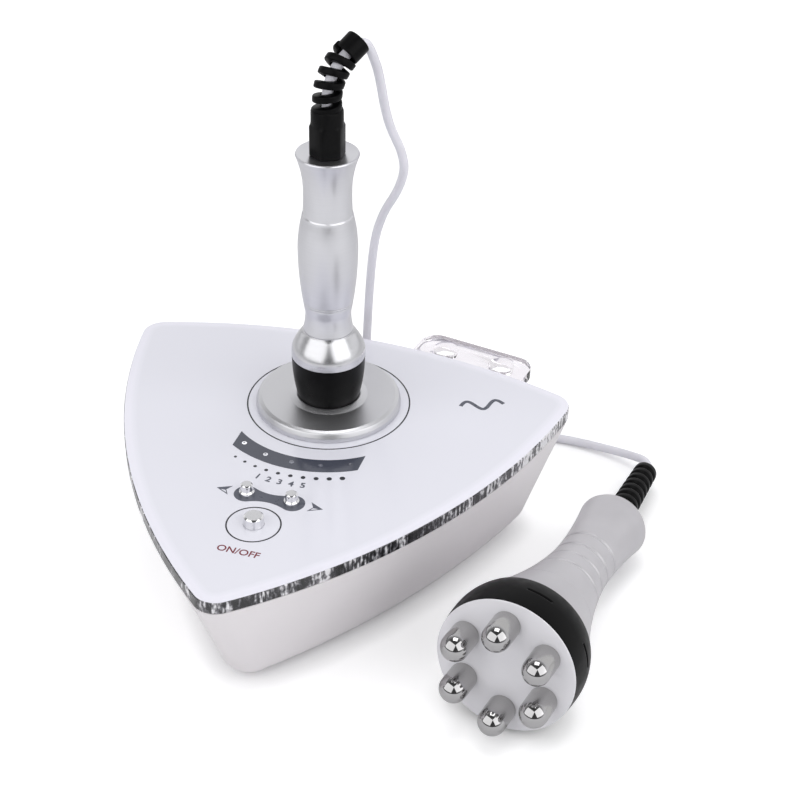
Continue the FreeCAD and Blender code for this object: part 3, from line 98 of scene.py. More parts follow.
def view_axes(azimuth, height, roll):
    """Right, up and backward axes of a camera that looks at the object."""
    level = Vector((math.sin(azimuth), -math.cos(azimuth), 0))
    back = level * math.cos(height) + Vector((0, 0, math.sin(height)))
    right = Vector((0, 0, 1)).cross(back).normalized()
    up = back.cross(right)
    rolled_right = right * math.cos(roll) + up * math.sin(roll)
    rolled_up = up * math.cos(roll) - right * math.sin(roll)
    return rolled_right, rolled_up, back


def axes_matrix(right, up, back, origin):
    """A placement with the three given axes as its columns."""
    matrix = Matrix((right, up, back)).transposed().to_4x4()
    matrix.translation = origin
    return matrix


def new_object(name, data):
    """An object with the given data, linked to the scene."""
    made = bpy.data.objects.new(name, data)
    scene.collection.objects.link(made)
    return made


camera_data = bpy.data.cameras.new("photo_camera")
camera_data.lens = LENS
camera_data.sensor_width = 36.0
camera_data.clip_start = 0.01
camera = new_object("photo_camera", camera_data)
camera_axes = view_axes(CAMERA_AZIMUTH, CAMERA_HEIGHT, CAMERA_ROLL)
camera.matrix_world = axes_matrix(*camera_axes, CAMERA_PLACE)
scene.camera = camera
print("camera at", [round(value, 3) for value in CAMERA_PLACE])

# %% [markdown]
# ## Finishes
# Every finish starts from one Principled shader whose constant values sit on its own sockets.
# A colour is written as it should look on a screen and converted to linear light. Detail then
# comes from two helpers: a broad mottle that shifts colour and gloss a little, as handling and
# moulding do, and a fine grain that tilts the surface.


# %% Colours and shaders
def screen(colour):
    """A colour of 0 to 255 per channel, as seen on a screen, in linear light."""
    shares = [channel / 255 for channel in colour]
    return [s / 12.92 if s <= 0.04045 else ((s + 0.055) / 1.055) ** 2.4 for s in shares] + [1.0]


def new_finish(name, colour, roughness, **sockets):
    """A Principled material. A socket such as Coat Weight is given as coat_weight."""
    finish = bpy.data.materials.new(name)
    finish.use_nodes = True
    shader = finish.node_tree.nodes["Principled BSDF"]
    shader.inputs["Base Color"].default_value = screen(colour)
    shader.inputs["Roughness"].default_value = roughness
    titles = {title.lower().replace(" ", "_"): title for title in shader.inputs.keys()}
    for socket, value in sockets.items():
        shader.inputs[titles[socket]].default_value = value
    return finish


# %% Noise, spans and ramps
NOISE_MIDDLE = (0.3, 0.7)


def add_noise(finish, size, stretch=(1, 1, 1), detail=3.0):
    """A noise whose blotches measure about size millimetres."""
    tree = finish.node_tree
    coords = tree.nodes.new("ShaderNodeTexCoord")
    mapping = tree.nodes.new("ShaderNodeMapping")
    mapping.inputs["Scale"].default_value = stretch
    noise = tree.nodes.new("ShaderNodeTexNoise")
    noise.inputs["Scale"].default_value = 1 / (size * MM)
    noise.inputs["Detail"].default_value = detail
    tree.links.new(coords.outputs["Object"], mapping.inputs["Vector"])
    tree.links.new(mapping.outputs["Vector"], noise.inputs["Vector"])
    return noise.outputs["Fac"]


def add_span(tree, value, start, end, low=0.0, high=1.0):
    """Leads a value that runs from start to end over to low to high."""
    node = tree.nodes.new("ShaderNodeMapRange")
    for title, number in (("From Min", start), ("From Max", end), ("To Min", low), ("To Max", high)):
        node.inputs[title].default_value = number
    tree.links.new(value, node.inputs["Value"])
    return node.outputs["Result"]


def add_range(finish, noise, low, high):
    """Spreads the middle of a noise over low to high."""
    return add_span(finish.node_tree, noise, *NOISE_MIDDLE, low, high)


def add_ramp(tree, source, stops):
    """Colours along a value: each stop is a place from 0 to 1 and a colour in linear light."""
    node = tree.nodes.new("ShaderNodeValToRGB")
    elements = node.color_ramp.elements
    while len(elements) < len(stops):
        elements.new(0.5)
    for element, (place, colour) in zip(elements, stops):
        element.position = place
        element.color = colour
    tree.links.new(source, node.inputs["Fac"])
    return node.outputs["Color"]


def paint(finish, source, stops):
    """Leads screen colours along a value into the base colour."""
    linear = [(place, screen(colour)) for place, colour in stops]
    plug_in(finish, add_ramp(finish.node_tree, source, linear), "Base Color")


def add_fall(finish, axis, start, end, low, high):
    """A value that runs from low to high along an object axis, between two places in millimetres."""
    tree = finish.node_tree
    coords = tree.nodes.new("ShaderNodeTexCoord")
    parts = tree.nodes.new("ShaderNodeSeparateXYZ")
    tree.links.new(coords.outputs["Object"], parts.inputs["Vector"])
    return add_span(tree, parts.outputs[axis], start * MM, end * MM, low, high)


def plug_in(finish, source, socket):
    """Leads a value into the shader."""
    finish.node_tree.links.new(source, finish.node_tree.nodes["Principled BSDF"].inputs[socket])


# %% Mottle and grain
def mottle(finish, colour, size, shade, gloss, stretch=(1, 1, 1)):
    """Broad blotches: the colour darker or lighter by shade steps, the roughness by gloss."""
    noise = add_noise(finish, size, stretch)
    darker = [max(channel - shade, 0) for channel in colour]
    lighter = [min(channel + shade, 255) for channel in colour]
    paint(finish, noise, zip(NOISE_MIDDLE, (darker, lighter)))
    rough = finish.node_tree.nodes["Principled BSDF"].inputs["Roughness"].default_value
    plug_in(finish, add_range(finish, noise, max(rough - gloss, 0), rough + gloss), "Roughness")
    return finish


def grain(finish, size, height, stretch=(1, 1, 1)):
    """Fine relief, height in millimetres."""
    noise = add_noise(finish, size, stretch)
    bump = finish.node_tree.nodes.new("ShaderNodeBump")
    bump.inputs["Distance"].default_value = height * MM
    finish.node_tree.links.new(noise, bump.inputs["Height"])
    plug_in(finish, bump.outputs["Normal"], "Normal")
    return finish


def plain_finish(name, colour, roughness, blotch, shade, gloss, tooth, relief, stretch=(1, 1, 1),
                 **sockets):
    """A finish with both kinds of detail."""
    finish = new_finish(name, colour, roughness, **sockets)
    mottle(finish, colour, blotch, shade, gloss, stretch)
    return grain(finish, tooth, relief, stretch)


# %% [markdown]
# ## The finishes of this object
# White mouldings are slightly glossy with a faint orange peel. Turned aluminium gets lines round
# its axis: the noise is squeezed along Z, so it reads as tool marks. Chrome keeps a very low
# roughness and only smudges vary it. Rubber is dull with a fine tooth.

# %% Make the finishes
ROUND_LINES = (0.15, 0.15, 6.0)
ACRYLIC = (232, 229, 233)
finishes = {
    "case_white": plain_finish("case_moulding", (233, 229, 232), 0.32, 30, 1, 0.03, 1.2, 0.004),
    "panel_white": grain(new_finish("panel_gloss", (226, 226, 235), 0.16, coat_weight=0.3), 3.0, 0.001),
    "window_slate": plain_finish("slate_print", (84, 87, 99), 0.3, 6, 3, 0.05, 0.6, 0.002),
    "spun_aluminium": plain_finish("spun_disc", (212, 212, 215), 0.37, 5, 2, 0.03, 0.5, 0.001, ROUND_LINES,
                                   metallic=1.0),
    "satin_aluminium": plain_finish("satin_wand", (218, 218, 222), 0.32, 4, 1, 0.01, 0.35, 0.0004,
                                    ROUND_LINES, metallic=1.0),
    "steel": plain_finish("machined_steel", (176, 176, 178), 0.28, 3, 8, 0.06, 0.3, 0.004, ROUND_LINES,
                          metallic=1.0),
    "chrome": plain_finish("polished_chrome", (180, 179, 180), 0.06, 6, 3, 0.03, 2.0, 0.0004, metallic=1.0),
    "brass": plain_finish("turned_brass", (200, 164, 92), 0.3, 3, 10, 0.06, 0.3, 0.004, metallic=1.0),
    "sink_aluminium": plain_finish("anodised_sink", (60, 62, 66), 0.42, 4, 6, 0.06, 0.3, 0.006, metallic=0.8),
    "copper": plain_finish("enamelled_wire", (184, 104, 58), 0.32, 1.2, 22, 0.06, 0.5, 0.05, (1, 1, 4),
                           metallic=0.9),
    "ferrite": plain_finish("ferrite_core", (58, 56, 58), 0.6, 2, 8, 0.08, 0.4, 0.03),
    "board_green": plain_finish("solder_mask", (30, 92, 58), 0.36, 2.5, 18, 0.06, 0.8, 0.02, coat_weight=0.3),
    "part_black": plain_finish("moulded_black", (32, 32, 34), 0.46, 5, 5, 0.06, 0.5, 0.01),
    "lamp_clear": plain_finish("lamp_lens", (226, 230, 234), 0.12, 2, 6, 0.03, 0.8, 0.003,
                               transmission_weight=0.6),
    "black_rubber": plain_finish("black_rubber", (6, 6, 7), 0.38, 4, 2, 0.06, 0.35, 0.008,
                                 specular_ior_level=0.09),
    "black_plastic": plain_finish("satin_black", (8, 8, 9), 0.32, 6, 2, 0.05, 0.5, 0.004,
                                  specular_ior_level=0.11),
    "cord_white": plain_finish("cord_sheath", (229, 228, 236), 0.42, 12, 3, 0.05, 0.7, 0.008),
    "face_white": plain_finish("face_moulding", (225, 224, 229), 0.26, 20, 1, 0.006, 1.0, 0.002),
    "grip_silver": plain_finish("silver_paint", (198, 196, 200), 0.34, 14, 3, 0.03, 0.22, 0.003,
                                metallic=0.55),
    "clear_acrylic": new_finish("clear_acrylic", ACRYLIC, 0.03, transmission_weight=1.0, ior=1.3),
}
print("finishes:", len(finishes))

# %% [markdown]
# ## Dressing the solids
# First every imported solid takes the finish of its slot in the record, also the hidden ones, so
# that nothing inside is bare. Pieces built later hide the solid that they stand for.

# %% Finish on every solid
slot_of = {part["node"]: part["material_slot"] for part in frame["record"]["subparts"]}
for node_name, node in frame["nodes"].items():
    node.data.materials.clear()
    node.data.materials.append(finishes[slot_of[node_name]])
print("dressed solids:", len(slot_of))

# %% [markdown]
# ## Helpers for meshes
# Most pieces are turned or flat, so two builders are enough: one spins a profile round the Z
# axis, the other stacks loops into a plate and fills its two faces. Profiles are written as
# corners with a radius, like a drawing.


# %% Skins over rows of vertices
def piece_from(name, builder, place, crease=35):
    """Turns a bmesh in millimetres into a linked object with smooth faces and sharp edges."""
    bmesh.ops.recalc_face_normals(builder, faces=builder.faces)
    bmesh.ops.scale(builder, vec=(MM, MM, MM), verts=builder.verts)
    mesh = bpy.data.meshes.new(name)
    builder.to_mesh(mesh)
    builder.free()
    mesh.shade_smooth()
    mesh.set_sharp_from_angle(angle=math.radians(crease))
    piece = new_object(name, mesh)
    piece.matrix_world = place
    return piece


def skin_rows(builder, rows, closed_rows=True, ring=False):
    """Faces between neighbouring rows of vertices; a row of one vertex is a pole."""
    pairs = list(zip(rows, rows[1:])) + ([(rows[-1], rows[0])] if ring else [])
    for lower, upper in pairs:
        count = max(len(lower), len(upper))
        for i in range(count if closed_rows else count - 1):
            j = (i + 1) % count
            corners = [lower[i % len(lower)], lower[j % len(lower)]]
            corners += [upper[j % len(upper)], upper[i % len(upper)]]
            builder.faces.new(list(dict.fromkeys(corners)))


# %% Profiles
def eased(corners, steps=6):
    """An open profile whose corners with a third value are rounded by that radius."""
    line = []
    for i, corner in enumerate(corners):
        point = Vector(corner[:2])
        if len(corner) < 3:
            line.append(point)
            continue
        before = (Vector(corners[i - 1][:2]) - point).normalized()
        after = (Vector(corners[i + 1][:2]) - point).normalized()
        half = before.angle(after) / 2
        centre = point + (before + after).normalized() * corner[2] / math.sin(half)
        first = point + before * corner[2] / math.tan(half) - centre
        last = point + after * corner[2] / math.tan(half) - centre
        turn = math.atan2(first.x * last.y - first.y * last.x, first.dot(last))
        for k in range(steps + 1):
            line.append(centre + Matrix.Rotation(turn * k / steps, 2) @ first)
    return line


def flowing(points, steps=8):
    """A smooth line through points, as a bent spline draws it."""
    points = [Vector(point) for point in points]
    slopes = [points[1] - points[0]]
    slopes += [(after - before) / 2 for before, after in zip(points, points[2:])]
    slopes.append(points[-1] - points[-2])
    line = []
    for i in range(len(points) - 1):
        knots = (points[i], points[i] + slopes[i] / 3, points[i + 1] - slopes[i + 1] / 3, points[i + 1])
        line += interpolate_bezier(*knots, steps + 1)[:-1]
    return line + [points[-1]]


# %% Turned pieces and plates
def turned(name, profile, place, steps=128, ring=False, crease=35):
    """Spins a profile of (radius, height) round the Z axis. A ring has a closed profile."""
    builder = bmesh.new()
    rows = []
    for radius, height in profile:
        count = steps if radius > 0.001 else 1
        angles = [2 * math.pi * k / steps for k in range(count)]
        rows.append([builder.verts.new((radius * math.cos(a), radius * math.sin(a), height)) for a in angles])
    skin_rows(builder, rows, ring=ring)
    return piece_from(name, builder, place, crease)


def plate(name, sides, place, crease=35):
    """A closed plate. Each side is a stack of loops from bottom to top: outer sides and holes."""
    builder = bmesh.new()
    bottom, top = [], []
    for stack in sides:
        rows = [[builder.verts.new(point) for point in loop] for loop in stack]
        skin_rows(builder, rows)
        for row, edges in ((rows[0], bottom), (rows[-1], top)):
            edges += [builder.edges.get((row[i - 1], row[i])) for i in range(len(row))]
    for edges in (bottom, top):
        bmesh.ops.triangle_fill(builder, use_beauty=True, use_dissolve=False, edges=edges)
    return piece_from(name, builder, place, crease)


def prism(name, loops, low, high, place):
    """A plate with straight sides from flat loops of (x, y)."""
    sides = [[[(x, y, low) for x, y in loop], [(x, y, high) for x, y in loop]] for loop in loops]
    return plate(name, sides, place)


def circle(x, y, radius, steps=64):
    """A flat loop."""
    angles = [2 * math.pi * k / steps for k in range(steps)]
    return [(x + radius * math.cos(a), y + radius * math.sin(a)) for a in angles]


def arc(x, y, radius, start, end, steps):
    """Points along a circle from one angle to another, in degrees."""
    angles = [math.radians(start + (end - start) * k / steps) for k in range(steps + 1)]
    return [(x + radius * math.cos(a), y + radius * math.sin(a)) for a in angles]


# %% Finish and body of a piece
def dress(piece, body, slot, *nodes, finish=None):
    """Finish, from the slot unless one is given, body and the solids that the piece stands for."""
    piece.data.materials.clear()
    piece.data.materials.append(finish or finishes[slot])
    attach(piece, body)
    if nodes:
        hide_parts(*nodes)
    print(piece.name, "rides on", body, "with", len(piece.data.polygons), "faces")
    return piece


# %% [markdown]
# ## The cords
# Each handset hangs on a white cord 4.4 mm thick. It leaves its bend guard, runs down and behind
# the console, is wound into a tied coil and ends in a plug. A bevelled curve would be quick, but a
# mesh tube follows the points of one smooth spline. The free stretch is a list of given points; the
# coil is a formula.

# %% Routes
CORD = 4.4
COIL_RADIUS = 30.0
COIL_LOW = 3.5
LAYER_RISE = 4.9
LAP_STEP = 5.0
TURN_POINTS = 24
RUN_IN = 11.0
PLUG_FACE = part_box("wand_plug")[1].y / MM
PLUG_HEIGHT = 18.0
LEAD_START = 0.18
LEAD_SHARES = [(0.58, 0.26), (0.34, 0.75), (0.15, 1.0), (0.0, 1.0)]
WAND_EXIT = Vector((-11.4, 53.0, 253.7))
WAND_WAY = Vector((0.480, 0.681, 0.553))
WAND_STUB = 0.5
WAND_ROUTE = [
    (-10.7, 55.6, 253.0), (-10.3, 58.4, 250.7), (-9.9, 61.8, 246.8), (-9.8, 66.3, 241.0), (-9.6, 70.5, 235.0),
    (-9.8, 76.0, 225.7), (-9.8, 81.5, 213.6), (-9.2, 87.0, 201.8), (-6.9, 90.4, 193.0), (-4.4, 92.0, 186.5),
    (-2.9, 94.5, 175.5), (-7.5, 98.0, 161.5), (-15.2, 101.5, 148.0), (-20.4, 104.5, 132.5),
    (-23.2, 107.5, 114.5), (-25.2, 110.2, 94.0), (-26.8, 112.5, 72.0), (-27.9, 114.6, 51.0),
    (-30.4, 116.8, 32.5), (-36.2, 119.2, 17.5), (-45.6, 121.8, 8.2), (-57.6, 124.7, 4.4),
]
HAND_EXIT = Vector((124.4, 119.8, 9.6))
HAND_WAY = Vector((0.107, 0.986, -0.126))
HAND_STUB = 6.0
HAND_ROUTE = [
    (122.0, 131.0, 8.6), (115.0, 135.8, 6.4), (104.8, 139.7, 4.6), (91.5, 143.0, 3.1), (76.0, 144.4, 2.6),
    (58.0, 142.8, 2.4), (40.0, 138.6, 2.5), (22.5, 132.6, 2.9), (9.0, 128.7, 3.3),
]
print("points chosen by eye:", len(WAND_ROUTE), "and", len(HAND_ROUTE))


# %% Coil and whole route
def coil_points(middle_x, middle_y, laps):
    """A flat coil that spirals in, climbs a layer and spirals out again."""
    sweep = 2 * math.pi * laps - math.pi / 2
    half = sweep / 2
    points = []
    for k in range(round(TURN_POINTS * laps) + 1):
        turn = sweep * k / round(TURN_POINTS * laps)
        radius = COIL_RADIUS - LAP_STEP / (2 * math.pi) * (half - abs(turn - half))
        climb = min(max((turn - half) / math.pi + 0.5, 0), 1)
        height = COIL_LOW + LAYER_RISE * climb * climb * (3 - 2 * climb)
        angle = -math.pi / 2 - turn
        x, y = middle_x + radius * math.cos(angle), middle_y + radius * math.sin(angle)
        points.append(Vector((x, y, height)))
    return points


def whole_route(leave, way, stub, route, coil):
    """All control points of a cord, from inside its guard to its plug."""
    entry = coil[0] + Vector((CORD, 0, 0))
    points = [leave - way * CORD / 2, leave, leave + way * stub] + [Vector(point) for point in route]
    points += [entry + Vector((RUN_IN, 0, 0)), entry] + coil
    off = coil[-1] - Vector((0, CORD, 0))
    span = off.y - PLUG_FACE
    points += [off, off - Vector((0, LEAD_START * span, 0))]
    for share, rise in LEAD_SHARES:
        points.append(Vector((off.x, PLUG_FACE + share * span, off.z + rise * (PLUG_HEIGHT - off.z))))
    return points


# %% Tube along a spline
def mesh_of(curve):
    """The mesh that a curve or a text draws; the curve itself is removed."""
    holder = new_object(curve.name, curve)
    bpy.context.view_layer.update()
    mesh = bpy.data.meshes.new_from_object(holder)
    bpy.data.objects.remove(holder)
    bpy.data.curves.remove(curve)
    return mesh


def spline_points(points):
    """The smooth line of a spline with these control points, read back in metres."""
    line = bpy.data.curves.new("route", "CURVE")
    line.dimensions = "3D"
    line.resolution_u = 5
    spline = line.splines.new("NURBS")
    spline.points.add(len(points) - 1)
    for control, point in zip(spline.points, points):
        control.co = (*(point * MM), 1.0)
    spline.order_u = 3
    spline.use_endpoint_u = True
    read = mesh_of(line)
    path = [vertex.co.copy() for vertex in read.vertices]
    bpy.data.meshes.remove(read)
    return path


def tube_rows(builder, path, radius, sides):
    """Rings of vertices square to a path, without twist, closed by a pole at each end."""
    last = len(path) - 1
    ways = [(path[min(i + 1, last)] - path[max(i - 1, 0)]).normalized() for i in range(len(path))]
    across = ways[0].orthogonal().normalized()
    rows = [[builder.verts.new(path[0])]]
    for point, way in zip(path, ways):
        across = (across - way * across.dot(way)).normalized()
        beside = way.cross(across)
        row = []
        for k in range(sides):
            a = 2 * math.pi * k / sides
            row.append(builder.verts.new(point + (across * math.cos(a) + beside * math.sin(a)) * radius))
        rows.append(row)
    rows.append([builder.verts.new(path[-1])])
    return rows


def tube(name, path, radius, sides=20):
    """A closed tube along a path in millimetres, in the model's own frame."""
    builder = bmesh.new()
    skin_rows(builder, tube_rows(builder, path, radius, sides))
    return piece_from(name, builder, Matrix.Identity(4))


def length_of(path):
    """Length of a line of points."""
    return sum((after - before).length for before, after in zip(path, path[1:]))


# %% [markdown]
# ## Plugs, sleeves and straps
# Each cord ends in a ribbed boot inside a knurled sleeve, and a rubber strap holds its coil. The
# sleeve is a stack of loops whose radius waves round the axis, which gives real flutes, and the
# strap is a thin section carried round the coil that lies double where its end laps over.

# %% Plug and sleeve
FLUTES = 30
FLUTE_DEPTH = 0.5
SLEEVE_ROWS = [(7.6, 0, 0), (8.0, 0.4, 0), (8.0, 1.8, 0), (8.0, 2.3, 1), (8.0, 10.6, 1), (8.0, 11.1, 0)]
SLEEVE_ROWS += [(8.0, 12.6, 0), (7.6, 13.0, 0), (5.5, 13.0, 0), (5.5, 10.0, 0), (6.9, 9.5, 0), (6.9, 0, 0)]
BOOT_RIBS = 4
BOOT, BOOT_TAIL = 5.2, 3.4
BOOT_COLLAR, BOOT_STEP = 6.4, 1.5
RIBS_FROM, RIBS_OVER, BOOT_RIB_DEPTH = 0.52, 0.44, 0.5
STRAP = 1.0
STRAP_CORNER = 2.0
STRAP_LAP = 0.8


def rear_place(node):
    """A placement on the front face of a rear piece, its Z axis pointing out of the console's back."""
    low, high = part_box(node)
    origin = Vector(((low.x + high.x) / 2, low.y, (low.z + high.z) / 2))
    return axes_matrix(Vector((-1, 0, 0)), Vector((0, 0, 1)), Vector((0, 1, 0)), origin)


def fluted_sleeve(name, node):
    """A coupling sleeve with flutes for the fingers."""
    builder = bmesh.new()
    rows = []
    for radius, height, fluted in SLEEVE_ROWS:
        row = []
        for k in range(FLUTES * 8):
            turn = 2 * math.pi * k / (FLUTES * 8)
            reach = radius - fluted * FLUTE_DEPTH * (0.5 - 0.5 * math.cos(FLUTES * turn))
            row.append(builder.verts.new((reach * math.cos(turn), reach * math.sin(turn), height)))
        rows.append(row)
    skin_rows(builder, rows, ring=True)
    return dress(piece_from(name, builder, rear_place(node), 30), node, "steel", node)


def ribbed_boot(name, node):
    """A plug whose tail is ribbed to bend with the cord."""
    low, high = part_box(node)
    length = (high.y - low.y) / MM
    profile = [(0, 0), (BOOT_COLLAR, 0), (BOOT_COLLAR, BOOT_STEP), (BOOT, BOOT_STEP), (BOOT, length / 2)]
    for k in range(BOOT_RIBS * 8 + 1):
        share = k / (BOOT_RIBS * 8)
        ripple = 0.5 - 0.5 * math.cos(2 * math.pi * BOOT_RIBS * share)
        radius = BOOT + (BOOT_TAIL - BOOT) * share - BOOT_RIB_DEPTH * ripple
        profile.append((radius, length * (RIBS_FROM + RIBS_OVER * share)))
    profile += [(BOOT_TAIL - 0.3, length), (0, length)]
    return dress(turned(name, profile, rear_place(node), 64), "console", "part_black", node)


# %% Strap
def lapped_strap(name, node):
    """A strap round a coil; its end lies double over the upper corner."""
    low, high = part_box(node)
    half = (high - low) / 2 / MM
    half_x, half_z, half_y = half.x - STRAP, half.z - STRAP, half.y
    line = []
    for k, (side_x, side_z) in enumerate(((1, -1), (1, 1), (-1, 1), (-1, -1))):
        middle = Vector((side_x * (half_x - STRAP_CORNER), side_z * (half_z - STRAP_CORNER)))
        for step in range(9):
            turn = math.radians(90 * (k - 1) + 90 * step / 8)
            way = Vector((math.cos(turn), math.sin(turn)))
            line.append((middle + way * STRAP_CORNER, way, k == 1))
        if k == 0:
            line += [(Vector((half_x, z)), Vector((1, 0)), z > -0.5) for z in (-0.6, -0.4)]
        if k == 1:
            line += [(Vector((x, half_z)), Vector((0, 1)), x > 0) for x in (0.1, -0.1)]
    builder = bmesh.new()
    rows = []
    for point, way, double in line:
        thick = STRAP + STRAP_LAP * double
        section = [(thick, half_y - 0.3), (thick - 0.3, half_y), (0, half_y)]
        section += [(reach, -across) for reach, across in section[::-1]]
        spots = [(point + way * reach, across) for reach, across in section]
        rows.append([builder.verts.new((spot.x, across, spot.y)) for spot, across in spots])
    skin_rows(builder, rows, ring=True)
    place = Matrix.Translation((low + high) / 2)
    return dress(piece_from(name, builder, place, 30), "console", "black_rubber", node)


# %% Lay both cords
WAND_COIL, HAND_COIL = (-86, 157, 5), (-18, 157, 6)
WAND_LANDING, HAND_LANDING = Vector((-45.0, 122.0, 20.0)), Vector((22.0, 132.0, 3.0))
for handset, parts in {
    "wand": (WAND_EXIT, WAND_WAY, WAND_STUB, WAND_ROUTE, WAND_COIL, WAND_LANDING),
    "hand": (HAND_EXIT, HAND_WAY, HAND_STUB, HAND_ROUTE, HAND_COIL, HAND_LANDING),
}.items():
    leave, way, stub, route, coil_place, landing = parts
    path = spline_points(whole_route(leave, way, stub, route, coil_points(*coil_place)))
    flex = tube(handset + "_flex", [point / MM for point in path], CORD / 2)
    flex.data.materials.append(finishes["cord_white"])
    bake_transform(flex)
    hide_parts(handset + "_cord", handset + "_cord_coil", handset + "_cord_lead")
    on_cord = [
        ribbed_boot(handset + "_boot", handset + "_plug"),
        fluted_sleeve(handset + "_knurled_sleeve", handset + "_plug_sleeve"),
        lapped_strap(handset + "_strap", handset + "_cord_tie"),
    ]
    print(flex.name, "is", round(length_of(path), 3), "m long with", len(path), "points")

# %% [markdown]
# ## The floor
# The object stands on a white table in a soft studio. The floor is a pale diffuse surface that
# keeps the shadow, with a glow of its own for the rays that look at it. The glow grows with the
# distance from the object, so that the far floor runs into the white background, and an ambient
# occlusion node dims it close to the pieces that stand on it, a painted contact shade at their feet.

# %% Floor
FLOOR_REACH = 3.0
FLOOR_GLOW = 0.4
FAR_GLOW = 1.0
GLOW_REACH = (0.35, 1.6)
CONTACT_REACH = 0.012


def add_math(tree, operation, *values):
    """A number worked out from linked values and plain numbers."""
    node = tree.nodes.new("ShaderNodeMath")
    node.operation = operation
    for socket, value in zip(node.inputs, values):
        if isinstance(value, float):
            socket.default_value = value
        else:
            tree.links.new(value, socket)
    return node.outputs[0]


def looked_at(tree):
    """One for rays from the camera, also through clear pieces, and nothing for the others."""
    rays = tree.nodes.new("ShaderNodeLightPath")
    return add_math(tree, "MAXIMUM", rays.outputs["Is Camera Ray"], rays.outputs["Is Transmission Ray"])


floor_mesh = bpy.data.meshes.new("floor")
square = [(-1, -1), (1, -1), (1, 1), (-1, 1)]
floor_mesh.from_pydata([(x * FLOOR_REACH, y * FLOOR_REACH, 0) for x, y in square], [], [(0, 1, 2, 3)])
floor = new_object("floor", floor_mesh)
table_white = new_finish("table_white", (236, 236, 237), 0.9, specular_ior_level=0.0)
tree = table_white.node_tree
coords = tree.nodes.new("ShaderNodeTexCoord")
away = tree.nodes.new("ShaderNodeVectorMath")
away.operation = "LENGTH"
tree.links.new(coords.outputs["Object"], away.inputs[0])
rise = add_span(tree, away.outputs["Value"], *GLOW_REACH, FLOOR_GLOW, FAR_GLOW)
# Painted contact shade: ambient occlusion dims the floor's glow close to the pieces, so the floor is darker
# round their feet.
contact_shade = tree.nodes.new("ShaderNodeAmbientOcclusion")
contact_shade.inputs["Distance"].default_value = CONTACT_REACH
glow = add_math(tree, "MULTIPLY", looked_at(tree), rise)
glow_with_painted_contact_shade = add_math(tree, "MULTIPLY", glow, contact_shade.outputs["AO"])
tree.nodes["Principled BSDF"].inputs["Emission Color"].default_value = (1, 1, 1, 1)
plug_in(table_white, glow_with_painted_contact_shade, "Emission Strength")
floor_mesh.materials.append(table_white)
print("floor half width (m):", FLOOR_REACH)

# %% [markdown]
# ## Background and lamps
# The world is white for the camera, also through clear pieces. For everything else it fades to
# grey overhead and behind the camera, which gives the metal something dark to reflect beside the
# three wide lamps. A wide lamp makes soft shadows, and its rectangle is what chrome mirrors.

# %% World
BACKWARD_LEAN = -0.9
LEAN_SPAN = (-0.9, 1.1)
COOL = 1.01
studio_greys = [(0.0, 0.95), (0.45, 0.9), (0.62, 0.42), (0.85, 0.12), (1.0, 0.08)]
world = bpy.data.worlds.new("studio")
scene.world = world
world.use_nodes = True
tree = world.node_tree
direction = tree.nodes.new("ShaderNodeTexCoord")
parts = tree.nodes.new("ShaderNodeSeparateXYZ")
tree.links.new(direction.outputs["Generated"], parts.inputs["Vector"])
lean = add_math(tree, "MULTIPLY_ADD", parts.outputs["Y"], BACKWARD_LEAN, parts.outputs["Z"])
greys = [(place, (grey, grey, grey * COOL, 1)) for place, grey in studio_greys]
fade = add_ramp(tree, add_span(tree, lean, *LEAN_SPAN), greys)
studio = tree.nodes["Background"]
tree.links.new(fade, studio.inputs["Color"])
white = tree.nodes.new("ShaderNodeBackground")
white.inputs["Color"].default_value = (1, 1, 1, 1)
choose = tree.nodes.new("ShaderNodeMixShader")
tree.links.new(looked_at(tree), choose.inputs[0])
tree.links.new(studio.outputs[0], choose.inputs[1])
tree.links.new(white.outputs[0], choose.inputs[2])
tree.links.new(choose.outputs[0], tree.nodes["World Output"].inputs["Surface"])
print("world nodes:", len(tree.nodes))

# %% Lamps
LAMP_AIM = Vector((0.0, 0.02, 0.08))


def softbox(name, place, size, power):
    """A rectangular lamp that looks at the object."""
    lamp_data = bpy.data.lights.new(name, "AREA")
    lamp_data.shape = "RECTANGLE"
    lamp_data.size, lamp_data.size_y = size
    lamp_data.energy = power
    lamp = new_object(name, lamp_data)
    lamp.location = place
    lamp.rotation_euler = (LAMP_AIM - Vector(place)).to_track_quat("-Z", "Y").to_euler()
    return lamp


softbox("top_box", (0.0, 0.25, 1.7), (0.9, 0.8), 7.4)
softbox("left_box", (-0.55, -0.93, 0.8), (1.8, 1.36), 11.0)
softbox("right_box", (0.98, -0.45, 0.8), (1.4, 1.27), 9.2)

# %% [markdown]
# ## The acrylic plate
# Under the white panel lies a clear plate 6 mm thick. Where its sawn edge meets the white case it
# looks almost black, with bright glints. So the slab's edge gets a finish of painted dark shade and
# painted glints, which stand in for what the clear edge reflects and lets through. Its rear tab
# hangs free in the light and is made of real clear material.

# %% The console's outline
CORNER_DISTANCE = 115.7
CORNER_RADIUS = 11.0
SIDE_RADIUS = 310.0
SIDE_REACH = SIDE_RADIUS - CORNER_RADIUS
SIDE_SPREAD = math.degrees(math.asin(CORNER_DISTANCE * math.sin(math.pi / 3) / SIDE_REACH))
SIDE_SHIFT = SIDE_REACH * math.cos(math.radians(SIDE_SPREAD)) - CORNER_DISTANCE / 2
POWER_AT = (0.0, -73.3)
KEYS_AT = [(-10.6, -54.5), (10.6, -54.5)]
POWER_FOOT = 4.6
KEY_FOOT = 3.5
BUTTON_GAP = 0.06
CUP_HOLE = 17.9
PLATE_LOW = -6.8
PANEL_LOW = -0.8


